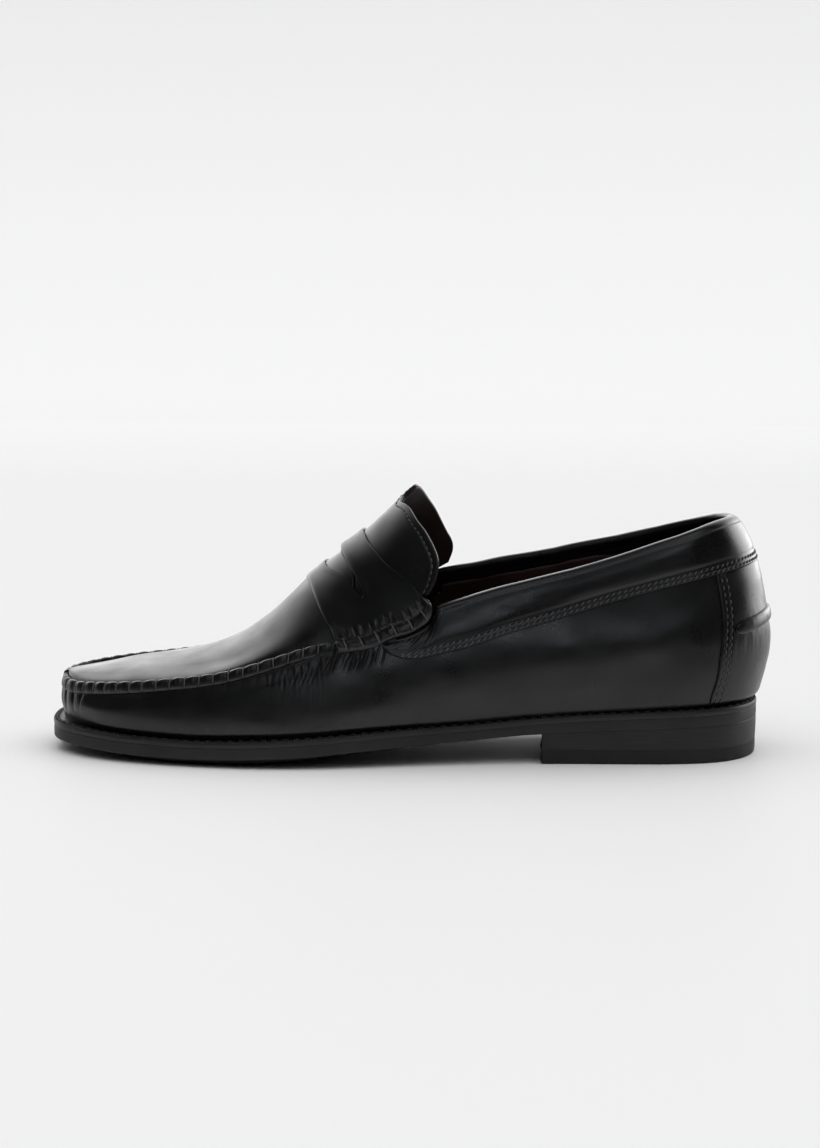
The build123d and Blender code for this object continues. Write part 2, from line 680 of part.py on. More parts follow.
def strap():
    """Penny saddle across the instep, ends on the moccasin seam, with the slot."""
    with BuildPart() as body:
        add(polygon_prism(STRAP_SIDE))
        add(CROWN[OVERLAY[1]], mode=Mode.INTERSECT)
        add(CROWN[OVERLAY[0]], mode=Mode.SUBTRACT)
        add(WALL[OVERLAY[1]], mode=Mode.INTERSECT)
        # Slot, cut square to the strap's ridge
        with BuildSketch(Plane(origin=(-32.0, AXIS_Y, 90), x_dir=(0, 1, 0),
                               z_dir=(-0.64, 0, 0.77))):
            with BuildLine():
                Spline(*SLOT_LOWER)
                Spline(*SLOT_UPPER)
            make_face()
        extrude(amount=-24, mode=Mode.SUBTRACT)
    return body.part


def tongue_layer(outer, inner, shrink=0):
    """One skin of the tongue, between two growths of the last's top side."""
    with BuildPart() as body:
        add(polygon_prism(TONGUE_SIDE, shrink))
        add(CROWN[outer], mode=Mode.INTERSECT)
        add(CROWN[inner], mode=Mode.SUBTRACT)
        add(polygon_prism(STRAP_SPACE), mode=Mode.SUBTRACT)
        add(WALL[LINING[0]], mode=Mode.INTERSECT)
    return body.part


def tongue():
    """Flap that stands above the strap."""
    return tongue_layer(LEATHER[1], LEATHER[0])


def tongue_lining():
    """Lining inside the tongue."""
    return tongue_layer(STIFF[1], LINING[1], shrink=0.4)


# ---------------------------------------------------------------------------
# Threads: each seam is one node of separate stitches lying on the leather
# ---------------------------------------------------------------------------

OVERLAY_THREAD = OVERLAY[1] + 0.6   # growth at which stitches on the overlay lie
MOC_THREAD = LEATHER[1] + 0.9
TONGUE_THREAD = LEATHER[1] + 1.0

# Line of the strap-end stitches in the side view, as (x, z)
STRAP_STITCH_LINE = ((-23.2, 53.2), (-17.2, 54.4), (-9.5, 57.8), (-3.2, 60.0), (3.5, 62.2))
# Free edge of the tongue, as (z, x)
TONGUE_FREE_EDGE = ((83.0, 9.4), (92.0, 7.0), (106.0, 3.6), (112.0, 2.0))


def stitches(planes, length, width, height):
    with BuildPart() as body:
        with Locations(*planes):
            Box(length, width, height)
    return body.part


def laid_along(direction, normal):
    """A direction laid into the plane with the given normal."""
    scale = sum(c * c for c in normal)
    f = sum(a * b for a, b in zip(direction, normal)) / scale
    return tuple(a - f * b for a, b in zip(direction, normal))


def overlay_plane(x, z, side, direction):
    """Plane on the overlay's wall at (x, z), its x axis close to a direction."""
    y, angle = wall_point(x, z, side, OVERLAY_THREAD)
    out = (-math.sin(angle) * side, math.cos(angle) * side, 0.0)
    return Plane(origin=(x, y + AXIS_Y, z), x_dir=laid_along(direction, out), z_dir=out)


def crown_plane(x, y, z, growth, direction):
    """Plane with the slope of the top surface, its x axis close to a direction."""
    side = -1 if y < 0 else 1
    dzdx = crown_z(x + 0.5, y, growth) - crown_z(x - 0.5, y, growth)
    dzdy = 0.0
    if abs(y) >= 0.6:
        dzdy = (crown_z(x, abs(y) + 0.5, growth)
                - crown_z(x, max(abs(y) - 0.5, 0), growth)) * side
    normal = (-dzdx, -dzdy, 1.0)
    return Plane(origin=(x, y + AXIS_Y, z), x_dir=laid_along(direction, normal), z_dir=normal)


def moccasin_stitching():
    """Upright stitches over the puckered edge."""
    planes = []
    for x, y, angle in ring_samples(wall_ring(29.0, MOC_THREAD), 5.8):
        if x > -34:
            continue
        z = curve(MOC_SEAM, x) - 1.8
        # Behind the toe the stitch takes its place from the wall at its own height
        if x > -136:
            side = -1 if y < AXIS_Y else 1
            y, angle = wall_point(x, z, side, MOC_THREAD)
            y += AXIS_Y
        out = (math.sin(angle), -math.cos(angle))
        # Face away from a point in the middle of the forefoot
        if (x + 60) * out[0] + (y - AXIS_Y) * out[1] < 0:
            out = (-out[0], -out[1])
        planes.append(Plane(origin=(x, y, z), x_dir=(0, 0, 1), z_dir=(out[0], out[1], 0)))
    return stitches(planes, 3.0, 1.0, 0.6)


def welt_stitching():
    """Flat stitches on the welt outside the upper, from heel to heel round the toe."""
    planes = []
    for x, y, angle in ring_samples(sole_ring(1.15), 4.6):
        if x > 50.0:
            continue
        top = curve(WELT_TOP, x)
        # Leave out stitches that would touch the upper
        if x > -138.0:
            wall_y, _ = wall_point(x, top + 0.5, 1 if y > AXIS_Y else -1, LEATHER[1])
            if abs(y - AXIS_Y) - 0.5 < abs(wall_y) + 0.70:
                continue
        rise = slope(WELT_TOP, x)
        planes.append(Plane(origin=(x, y, top + 0.4),
                            x_dir=(math.cos(angle), math.sin(angle), rise * math.cos(angle)),
                            z_dir=(-rise, 0, 1)))
    return stitches(planes, 2.4, 0.8, 0.4)


def strap_stitching():
    """Stitches across the puckered lower edge of the strap."""
    planes = []
    for i in range(5):
        x = -22.6 + i * 6.4
        z = curve(STRAP_STITCH_LINE, x)
        y = crown_y(x, z, OVERLAY_THREAD)
        for side in (-1, 1):
            out = (0.0, side * 0.9, 0.44)
            planes.append(Plane(origin=(x, y * side + AXIS_Y, z),
                                x_dir=laid_along((0, 0, 1), out), z_dir=out))
    return stitches(planes, 2.6, 1.0, 0.5)


def collar_stitching():
    """Row just above the collar's lower edge."""
    planes = []
    for side in (-1, 1):
        for i in range(29):
            x = i * 4.3
            z = curve(COLLAR_SEAM, x) + 1.8
            planes.append(overlay_plane(x, z, side, (1, 0, slope(COLLAR_SEAM, x))))
    return stitches(planes, 2.2, 0.7, 0.5)


def backstay_stitching():
    """Row down each front edge of the backstay, broken at the heel tab."""
    planes = []
    for side in (-1, 1):
        for i in range(13):
            z = 26.0 + i * 3.9
            if 54.0 < z < 65.0:
                continue
            planes.append(overlay_plane(BACKSTAY_FRONT + 2.4, z, side, (0, 0, 1)))
    return stitches(planes, 2.0, 0.7, 0.5)


def tongue_stitching():
    """Row inside the tongue's free edge."""
    planes = []
    for i in range(-3, 4):
        y = i * 4.0
        x = 0.0
        # Settle on the point of the top surface 4.2 in front of the free edge
        for _ in range(12):
            z = crown_z(x, y, TONGUE_THREAD)
            x = 0.6 * x + 0.4 * (curve(TONGUE_FREE_EDGE, z) - 4.2)
        planes.append(crown_plane(x, y, z, TONGUE_THREAD, (0.05 * i, 1, 0)))
    return stitches(planes, 1.8, 0.7, 0.4)


# ---------------------------------------------------------------------------
# Export, one STEP per piece, named after the function that builds it
# ---------------------------------------------------------------------------

PIECES = (
    outsole, welt, cork_filler, shank, insole_board, sock_liner,
    heel_stack, heel_top_piece, heel_nails,
    vamp, apron, vamp_lining, apron_lining, toe_puff, quarter_lining, heel_counter,
    collar_padding, collar, backstay, heel_tab, strap, tongue, tongue_lining,
    moccasin_stitching, welt_stitching, strap_stitching, collar_stitching,
    backstay_stitching, tongue_stitching,
)

for build_piece in PIECES:
    piece = build_piece()
    piece.label = build_piece.__name__
    export_step(piece, f"parts/{piece.label}.step")
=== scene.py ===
"""A black leather penny loafer with a stacked heel, built over the tables of its last.

The toe points to -X and the heel to +X, +Z is up and the ground is z = 0. The outer side of
the foot is -Y and the inner side +Y. Shapes are worked out in millimetres and turned into
metres when a mesh is made; materials, stage and camera are in metres.
"""
import math

import bmesh
import bpy
import numpy as np
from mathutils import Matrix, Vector


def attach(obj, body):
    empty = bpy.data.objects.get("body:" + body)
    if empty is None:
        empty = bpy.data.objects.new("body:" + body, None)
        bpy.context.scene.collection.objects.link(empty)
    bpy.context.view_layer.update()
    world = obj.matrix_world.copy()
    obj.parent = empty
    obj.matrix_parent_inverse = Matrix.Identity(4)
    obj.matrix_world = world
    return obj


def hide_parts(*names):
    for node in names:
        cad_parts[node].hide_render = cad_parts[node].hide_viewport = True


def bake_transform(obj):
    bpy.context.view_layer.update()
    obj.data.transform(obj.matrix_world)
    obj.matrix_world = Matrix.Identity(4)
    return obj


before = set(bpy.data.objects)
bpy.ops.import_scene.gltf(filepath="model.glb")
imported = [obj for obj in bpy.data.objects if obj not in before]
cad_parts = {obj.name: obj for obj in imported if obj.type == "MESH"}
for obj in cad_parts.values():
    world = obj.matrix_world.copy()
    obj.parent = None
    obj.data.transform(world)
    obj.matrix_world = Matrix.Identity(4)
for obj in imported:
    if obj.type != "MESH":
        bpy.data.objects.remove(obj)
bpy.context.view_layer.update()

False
MM = 0.001

# ---------------------------------------------------------------------------
# The last
# ---------------------------------------------------------------------------
AXIS_Y = 2.55           # the long axis of the shoe
SKIN = 3.8              # the tables describe a surface this far outside the last
SOLE_FRONT, SOLE_REAR, HEEL_BREAST = -149.4, 142.3, 54.4

# Fractions of an outline's length, toe to heel, where its half widths are given
STATIONS = (0.006, 0.02, 0.045, 0.085, 0.14, 0.20, 0.28, 0.37, 0.46,
            0.55, 0.64, 0.73, 0.82, 0.89, 0.945, 0.975, 0.993)
SOLE_OUTER = (14.0, 22.0, 29.8, 38.0, 45.0, 50.0, 53.8, 53.8, 49.4,
              43.6, 39.0, 36.4, 35.8, 34.4, 29.6, 22.2, 12.4)
SOLE_INNER = (14.6, 22.6, 30.2, 37.6, 43.2, 46.8, 49.2, 47.8, 42.4,
              36.4, 32.6, 32.2, 33.8, 33.8, 29.6, 22.2, 12.4)
# Levels of the wall: z, x at the toe, x at the heel, outer half widths, inner half widths
WALL_LEVELS = (
    (6.0, -145.0, 138.0,
     (11.5, 18.8, 26.2, 34.2, 41.2, 46.0, 49.6, 49.6, 45.6,
      40.2, 35.8, 33.2, 32.6, 31.0, 26.4, 19.4, 10.4),
     (12.0, 19.2, 26.6, 33.8, 39.2, 42.6, 45.0, 43.6, 38.4,
      32.4, 28.8, 28.6, 30.2, 30.4, 26.4, 19.4, 10.4)),
    (20.0, -147.2, 140.6,
     (12.4, 19.8, 27.2, 35.2, 42.2, 46.8, 50.4, 50.8, 47.4,
      42.6, 38.2, 35.4, 34.2, 32.2, 27.4, 20.2, 11.0),
     (12.8, 20.2, 27.6, 34.8, 40.6, 44.2, 46.6, 45.6, 41.0,
      35.6, 32.2, 31.6, 32.4, 31.8, 27.4, 20.2, 11.0)),
    (34.0, -145.6, 145.0,
     (11.2, 18.0, 25.0, 32.6, 39.4, 43.6, 46.8, 47.8, 46.4,
      43.0, 39.2, 36.6, 35.0, 32.8, 28.0, 20.6, 11.2),
     (11.6, 18.4, 25.4, 32.2, 38.0, 41.6, 44.2, 44.6, 42.4,
      38.6, 35.2, 33.8, 33.8, 32.6, 28.0, 20.6, 11.2)),
    (48.0, -145.0, 147.2,
     (10.6, 17.0, 23.6, 30.6, 36.6, 40.2, 42.6, 43.4, 42.8,
      40.8, 38.0, 35.8, 34.4, 32.4, 27.8, 20.4, 11.0),
     (10.8, 17.2, 23.8, 30.4, 36.0, 39.4, 41.6, 42.2, 41.0,
      38.4, 35.8, 34.2, 33.6, 32.2, 27.8, 20.4, 11.0)),
    (64.0, -144.6, 145.5,
     (10.0, 16.0, 22.4, 28.8, 33.8, 36.4, 37.4, 37.4, 36.6,
      35.2, 33.6, 32.4, 31.8, 30.4, 26.4, 19.4, 10.4),
     (10.0, 16.0, 22.4, 28.8, 33.6, 36.0, 37.0, 37.0, 36.0,
      34.2, 32.6, 31.8, 31.4, 30.2, 26.4, 19.4, 10.4)),
    (82.0, -144.2, 142.6,
     (9.8, 15.6, 21.6, 27.4, 31.6, 33.2, 33.4, 33.2, 32.6,
      31.6, 30.4, 29.6, 29.2, 28.0, 24.4, 18.0, 9.8),
     (9.8, 15.6, 21.6, 27.4, 31.6, 33.2, 33.4, 33.2, 32.2,
      31.0, 30.0, 29.4, 29.0, 27.8, 24.4, 18.0, 9.8)),
    (114.0, -144.0, 128.0,
     (9.2, 14.8, 20.4, 25.4, 28.8, 30.2, 30.2, 29.8, 29.2,
      28.2, 27.0, 26.2, 25.8, 24.6, 21.2, 15.6, 8.4),
     (9.2, 14.8, 20.4, 25.4, 28.8, 30.2, 30.2, 29.8, 29.2,
      28.2, 27.0, 26.2, 25.8, 24.6, 21.2, 15.6, 8.4)),
)
# Sections of the crown: x, then (distance from the axis, z) from the ridge down
TOP_SECTIONS = (
    (-162.0, ((0, 30.0), (12, 29.8), (23, 29.2), (33, 27.4), (40, 23.0), (52, 8.0))),
    (-146.0, ((0, 31.4), (12, 31.2), (22, 30.6), (30, 29.0), (38, 24.0), (52, 8.0))),
    (-128.0, ((0, 34.0), (14, 33.5), (25, 32.2), (32, 30.6), (40, 25.5), (54, 8.0))),
    (-108.0, ((0, 36.8), (16, 36.1), (29, 34.2), (37, 32.2), (45, 27.0), (58, 8.0))),
    (-88.0, ((0, 41.2), (16, 40.2), (30, 37.0), (40, 34.0), (48, 27.5), (60, 8.0))),
    (-68.5, ((0, 50.0), (14, 48.5), (28, 43.8), (40, 37.4), (49, 28.0), (60, 8.0))),
    (-54.0, ((0, 60.6), (13, 58.2), (26, 51.4), (38, 42.4), (48, 30.0), (59, 8.0))),
    (-43.8, ((0, 70.4), (12, 67.6), (25, 58.6), (37, 47.0), (46, 34.0), (57, 8.0))),
    (-32.0, ((0, 80.2), (12, 77.0), (24, 67.6), (35, 54.4), (44, 38.0), (55, 8.0))),
    (-20.4, ((0, 90.0), (12, 86.4), (24, 76.0), (34, 61.6), (42, 44.0), (53, 8.0))),
    (-5.0, ((0, 104.2), (12, 100.4), (24, 89.2), (33, 73.6), (39, 56.0), (50, 8.0))),
    (5.0, ((0, 112.4), (12, 108.6), (24, 97.4), (33, 80.0), (39, 59.0), (50, 8.0))),
    (16.0, ((0, 121.0), (12, 117.4), (24, 106.0), (33, 88.0), (39, 65.0), (50, 8.0))),
)

# ---------------------------------------------------------------------------
# Curves, splines and noise
# ---------------------------------------------------------------------------


def smooth(x, start, end):
    """Smooth step from 0 at start to 1 at end."""
    t = np.clip((x - start) / (end - start), 0, 1)
    return t * t * (3 - 2 * t)


def fade(x, start, end):
    return 1 - smooth(x, start, end)


def bell(x, width):
    return np.exp(-(x / width) ** 2)


def signed_power(x, power):
    return np.sign(x) * np.abs(x) ** power


def curve(table, x, column=1):
    """Smooth value of one column of a table at every x; column 0 holds the knots."""
    table = np.asarray(table, float)
    x = np.atleast_1d(np.asarray(x, float))
    knots = table[:, 0]
    at = np.clip(x, knots[0], knots[-1]).ravel()
    count = len(knots)
    step = np.diff(knots)
    slope = np.zeros((count, count))
    for i in range(1, count - 1):
        slope[i, i - 1] = -1 / (knots[i + 1] - knots[i - 1])
        slope[i, i + 1] = 1 / (knots[i + 1] - knots[i - 1])
    slope[0, 0], slope[0, 1] = -1 / step[0], 1 / step[0]
    slope[-1, -2], slope[-1, -1] = -1 / step[-1], 1 / step[-1]
    i = np.clip(np.searchsorted(knots, at, side="right") - 1, 0, count - 2)
    t = (at - knots[i]) / step[i]
    rows = np.arange(len(at))
    basis = np.zeros((len(at), count))
    basis[rows, i] += 2 * t**3 - 3 * t**2 + 1
    basis[rows, i + 1] += -2 * t**3 + 3 * t**2
    basis += ((t**3 - 2 * t**2 + t) * step[i])[:, None] * slope[i]
    basis += ((t**3 - t**2) * step[i])[:, None] * slope[i + 1]
    return (basis @ table[:, column]).reshape(x.shape)


def spline_weights(bend, left, right, p, q, step):
    """Rows of knot weights for points between knots left (share p) and right (share q)."""
    rows = np.arange(len(p))
    basis = np.zeros((len(p), len(bend)))
    basis[rows, left] += p
    basis[rows, right] += q
    basis += (((p**3 - p) * step**2 / 6)[:, None] * bend[left]
              + ((q**3 - q) * step**2 / 6)[:, None] * bend[right])
    return basis


def cubic_basis(knots, at):
    """Knot weights of a twice-smooth natural spline."""
    knots = np.asarray(knots, float)
    at = np.asarray(at, float).ravel()
    count = len(knots)
    h = np.diff(knots)
    system, load = np.zeros((count, count)), np.zeros((count, count))
    system[0, 0] = system[-1, -1] = 1
    for i in range(1, count - 1):
        system[i, i - 1:i + 2] = h[i - 1], 2 * (h[i - 1] + h[i]), h[i]
        load[i, i - 1:i + 2] = 6 / h[i - 1], -6 / h[i - 1] - 6 / h[i], 6 / h[i]
    bend = np.linalg.solve(system, load)
    i = np.clip(np.searchsorted(knots, at, side="right") - 1, 0, count - 2)
    p = (knots[i + 1] - at) / h[i]
    return spline_weights(bend, i, i + 1, p, 1 - p, h[i])


class Ring:
    """Closed plan outline(s) as a twice-smooth periodic spline; t runs 0..1 from the toe tip
    along the outer side to the heel and back along the inner side."""

    def __init__(self, controls):
        self.controls = np.asarray(controls, float)          # levels, points, 2
        self.count = self.controls.shape[1]
        middle = self.controls[len(self.controls) // 2 - 1]
        gaps = np.linalg.norm(np.roll(middle, -1, 0) - middle, axis=1)
        knots = np.concatenate([[0], np.cumsum(gaps)])
        self.length = knots[-1]
        self.knots = knots / knots[-1]
        self.heel = float(self.knots[len(STATIONS) + 1])
        self.steps = h = np.diff(self.knots)
        system, load = np.zeros((2, self.count, self.count))
        for i in range(self.count):
            before, after = (i - 1) % self.count, (i + 1) % self.count
            system[i, before] += h[before]
            system[i, i] += 2 * (h[before] + h[i])
            system[i, after] += h[i]
            load[i, before] += 6 / h[before]
            load[i, i] += -6 / h[before] - 6 / h[i]
            load[i, after] += 6 / h[i]
        self.bend = np.linalg.solve(system, load)

    def basis(self, t):
        t = np.mod(np.asarray(t, float).ravel(), 1.0)
        i = np.clip(np.searchsorted(self.knots, t, side="right") - 1, 0, self.count - 1)
        step = self.steps[i]
        q = (t - self.knots[i]) / step
        return spline_weights(self.bend, i, (i + 1) % self.count, 1 - q, q, step)


def value_noise(seed, a, b):
    """Seeded smooth noise on a repeating grid."""
    a, b = np.broadcast_arrays(np.asarray(a, float), np.asarray(b, float))
    grid = np.random.RandomState(seed).uniform(-1, 1, (256, 64))
    rows, columns = grid.shape
    i, j = np.floor(a).astype(int), np.floor(b).astype(int)
    u, v = a - i, b - j
    u, v = u * u * (3 - 2 * u), v * v * (3 - 2 * v)

    def corner(i, j):
        return grid[i % rows, j % columns]

    return ((corner(i, j) * (1 - u) + corner(i + 1, j) * u) * (1 - v)
            + (corner(i, j + 1) * (1 - u) + corner(i + 1, j + 1) * u) * v)


def ripple(seed, a, b):
    """Two octaves of noise."""
    return value_noise(seed, a, b) + value_noise(seed + 1, a * 2, b * 2) / 2


def running_length(points, axis):
    """Distance covered along one axis of a grid of points."""
    steps = np.linalg.norm(np.diff(points, axis=axis), axis=-1)
    return np.insert(np.cumsum(steps, axis), 0, 0.0, axis=axis)


# ---------------------------------------------------------------------------
# Surfaces of the last: wall, sole outline and crown
# ---------------------------------------------------------------------------


def ring_points(front, rear, outer, inner):
    length = rear - front
    near = [(front + length * s, AXIS_Y - w) for s, w in zip(STATIONS, outer)]
    far = [(front + length * s, AXIS_Y + w) for s, w in zip(STATIONS, inner)]
    return [(front, AXIS_Y)] + near + [(rear, AXIS_Y)] + far[::-1]


WALL_RING = Ring([ring_points(*level[1:]) for level in WALL_LEVELS])
WALL_Z = [level[0] for level in WALL_LEVELS]
SOLE_RING = Ring([ring_points(SOLE_FRONT, SOLE_REAR, SOLE_OUTER, SOLE_INNER)])
ARC = WALL_RING.length      # millimetres in one turn of the wall's t
HEEL_T = WALL_RING.heel     # t of the back of the heel
# How far the back of the heel tips towards the toe: z, shift
HEEL_LEAN = ((20.0, 0.0), (30.0, 0.5), (45.0, 1.0), (60.0, 1.2), (66.0, 1.4), (73.0, 1.7),
             (80.0, 2.3), (86.0, 3.1), (92.5, 3.8), (100.0, 4.6))


def wall_xy(t, z):
    """Plan points of the wall before the heel's lean, one row for each t and z."""
    around, height = WALL_RING.basis(t), cubic_basis(WALL_Z, z)
    out = np.zeros((len(around), 2))
    for level, controls in enumerate(WALL_RING.controls):
        out += height[:, level:level + 1] * (around @ controls)
    return out


def wall_x(t, z=34.0):
    return wall_xy(t, np.broadcast_to(z, np.shape(t)))[:, 0]


def sole_xy(t):
    return SOLE_RING.basis(t) @ SOLE_RING.controls[0]


def outward(outline, t):
    """Unit normals that point out of a plan outline."""
    step = 0.0015
    along = outline(t + step) - outline(t - step)
    along /= np.linalg.norm(along, axis=1)[:, None]
    return np.stack([along[:, 1], -along[:, 0]], 1)


def wall_and_normal(t, z, reach):
    """Points of the wall, reach mm outward of the last, and their plan normals."""
    t, z, reach = np.broadcast_arrays(*(np.asarray(v, float) for v in (t, z, reach)))
    shape = t.shape + (3,)
    t, z, reach = t.ravel(), z.ravel(), reach.ravel()
    normal = outward(lambda q: wall_xy(q, z), t)
    plan = wall_xy(t, z) + normal * (reach - SKIN)[:, None]
    points = np.concatenate([plan, z[:, None]], 1)
    points[:, 0] -= np.interp(z, *np.transpose(HEEL_LEAN)) * smooth(points[:, 0], 86.0, 146.0)
    normal = np.concatenate([normal, 0 * z[:, None]], 1)
    return points.reshape(shape), normal.reshape(shape)


def wall(t, z, reach):
    return wall_and_normal(t, z, reach)[0]


def sole(t, inset):
    """Plan points inset mm inside the sole outline."""
    t, inset = np.broadcast_arrays(np.asarray(t, float), np.asarray(inset, float))
    flat = t.ravel()
    plan = sole_xy(flat) - outward(sole_xy, flat) * inset.ravel()[:, None]
    return plan.reshape(t.shape + (2,))


def side_tables(outline):
    """Rising x against t, for the outer side (-1) and the inner side (1)."""
    t = np.linspace(0, 1, 4001)
    x = outline(t)
    heel = int(np.argmax(x))
    tables = {-1: (x[:heel + 1], t[:heel + 1]), 1: (x[heel:][::-1], t[heel:][::-1])}
    for side, (xs, ts) in tables.items():
        order = np.argsort(xs, kind="stable")
        tables[side] = xs[order], ts[order]
    return tables


WALL_SIDES = side_tables(lambda t: wall_x(t, 40.0))
SOLE_SIDES = side_tables(lambda t: sole_xy(t)[:, 0])


def t_at(x, side, tables=WALL_SIDES):
    return np.interp(x, *tables[side])


# The crown is placed by x and by section position w, -5 (outer) to 5 (inner), 0 on the ridge
CROWN_X = [section[0] for section in TOP_SECTIONS]
CROWN_Y = np.array([[-p[0] for p in s[:0:-1]] + [p[0] for p in s] for _, s in TOP_SECTIONS], float)
CROWN_Z = np.array([[p[1] for p in s[:0:-1] + s] for _, s in TOP_SECTIONS], float)
CROWN_W = np.arange(-5, 6)


def crown_and_normal(x, w, reach):
    """Points of the crown, reach mm outward of the last, and their normals."""
    x, w, reach = np.broadcast_arrays(*(np.asarray(v, float) for v in (x, w, reach)))
    shape = x.shape + (3,)
    x, w, reach = x.ravel(), w.ravel(), reach.ravel()
    along = cubic_basis(CROWN_X, x)

    def section(at):
        across = cubic_basis(CROWN_W, at)
        return [np.einsum("ni,ij,nj->n", along, table, across) for table in (CROWN_Y, CROWN_Z)]

    y, z = section(w)
    y_after, z_after = section(w + 0.02)
    y_before, z_before = section(w - 0.02)
    dy, dz = y_after - y_before, z_after - z_before
    size = np.hypot(dy, dz)
    ny, nz = -dz / size, dy / size
    points = np.stack([x, y + AXIS_Y + ny * (reach - SKIN), z + nz * (reach - SKIN)], 1)
    return points.reshape(shape), np.stack([0 * x, ny, nz], 1).reshape(shape)


def crown(x, w, reach):
    return crown_and_normal(x, w, reach)[0]


def w_from_y(x, y):
    """Section position where the crown at x is y from the axis, by bisection."""
    x, y = np.broadcast_arrays(np.asarray(x, float), np.asarray(y, float))
    shape = x.shape
    x, y = x.ravel(), y.ravel()
    side, y = np.sign(y), np.abs(y)
    along = cubic_basis(CROWN_X, x) @ CROWN_Y
    low, high = np.zeros(len(x)), np.full(len(x), 5.0)
    for _ in range(30):
        mid = (low + high) / 2
        short = np.einsum("nj,nj->n", along, cubic_basis(CROWN_W, mid)) < y
        low, high = np.where(short, mid, low), np.where(short, high, mid)
    return (side * (low + high) / 2).reshape(shape)


# ---------------------------------------------------------------------------
# Mesh builders
# ---------------------------------------------------------------------------


def quad_object(name, verts, quads, material):
    """Smooth-shaded object from quads, turned so that they face outward."""
    a, b, c, d = (verts[quads[:, i]] for i in range(4))
    volume = (np.einsum("ij,ij->i", a, np.cross(b, c)).sum()
              + np.einsum("ij,ij->i", a, np.cross(c, d)).sum())
    if volume < 0:
        quads = quads[:, ::-1]
    mesh = bpy.data.meshes.new(name)
    mesh.vertices.add(len(verts))
    mesh.vertices.foreach_set("co", (verts * MM).astype(np.float32).ravel())
    mesh.loops.add(len(quads) * 4)
    mesh.loops.foreach_set("vertex_index", quads.ravel().astype(np.int32))
    mesh.polygons.add(len(quads))
    mesh.polygons.foreach_set("loop_start", np.arange(0, 4 * len(quads), 4, dtype=np.int32))
    mesh.polygons.foreach_set("loop_total", np.full(len(quads), 4, np.int32))
    mesh.update(calc_edges=True)
    mesh.validate()
    mesh.polygons.foreach_set("use_smooth", np.ones(len(mesh.polygons), bool))
    ob = bpy.data.objects.new(name, mesh)
    bpy.context.scene.collection.objects.link(ob)
    mesh.materials.append(material)
    return ob


def loft_quads(count, size, closed=False, cap=True):
    """Quads of count loops of size points; open ends are capped across the loop."""
    i, j = np.meshgrid(np.arange(count if closed else count - 1), np.arange(size), indexing="ij")
    here, there = i * size, ((i + 1) % count) * size
    after = (j + 1) % size
    quads = [np.stack([here + j, there + j, there + after, here + after], -1).reshape(-1, 4)]
    if not closed and cap:
        h = np.arange(size // 2 - 1)
        first = np.stack([h, h + 1, size - 2 - h, size - 1 - h], -1)
        quads += [first, (count - 1) * size + first[:, ::-1]]
    return np.concatenate(quads)


def loft(name, loops, material, closed=False):
    """Solid through loops[u, v]; v is closed."""
    count, size, _ = loops.shape
    return quad_object(name, loops.reshape(-1, 3), loft_quads(count, size, closed), material)


def wall_shell(name, t, z, reach_a, reach_b, material):
    faces = [wall(t, z, reach_a), wall(t, z, reach_b)[:, ::-1]]
    return loft(name, np.concatenate(faces, 1), material)


def crown_shell(name, x, w, reach_a, reach_b, material):
    faces = [crown(x, w, reach_a), crown(x, w, reach_b)[:, ::-1]]
    return loft(name, np.concatenate(faces, 1), material)


def weld(ob, distance=2e-6):
    """Merges coincident points (distance in metres) and makes the normals agree."""
    bm = bmesh.new()
    bm.from_mesh(ob.data)
    bmesh.ops.remove_doubles(bm, verts=bm.verts, dist=distance)
    bmesh.ops.dissolve_degenerate(bm, dist=1e-7, edges=bm.edges)
    bmesh.ops.recalc_face_normals(bm, faces=bm.faces)
    bm.to_mesh(ob.data)
    bm.free()
    return ob


def absorb(keep, extra):
    """Adds the mesh of extra to keep and deletes extra."""
    bm = bmesh.new()
    bm.from_mesh(keep.data)
    bm.from_mesh(extra.data)
    bm.to_mesh(keep.data)
    bm.free()
    mesh = extra.data
    bpy.data.objects.remove(extra)
    bpy.data.meshes.remove(mesh)
    return keep


STITCH = np.linspace(-1, 1, 6)      # positions along one short stitch


def threads(name, paths, radius, material):
    """Separate six-sided stitches with tapered ends; a path is (points, up vectors)."""
    sides = 6
    verts, quads, base = [], [], 0
    angle = np.linspace(0, 2 * np.pi, sides, endpoint=False) + np.pi / sides
    for points, ups in paths:
        count = len(points)
        along = np.gradient(points, axis=0)
        along /= np.linalg.norm(along, axis=1)[:, None]
        side = np.cross(along, ups)
        side /= np.linalg.norm(side, axis=1)[:, None]
        up = np.cross(side, along)
        r = radius * np.sqrt(np.clip(1 - np.abs(np.linspace(-1, 1, count)) ** 4, 0.02, 1))
        r = r[:, None, None]
        loop = (points[:, None] + side[:, None] * (np.cos(angle)[None, :, None] * r)
                + up[:, None] * (np.sin(angle)[None, :, None] * r))
        verts.append(loop.reshape(-1, 3))
        quads.append(loft_quads(count, sides) + base)
        base += count * sides
    return quad_object(name, np.concatenate(verts), np.concatenate(quads), material)


# ---------------------------------------------------------------------------
# Materials
# ---------------------------------------------------------------------------


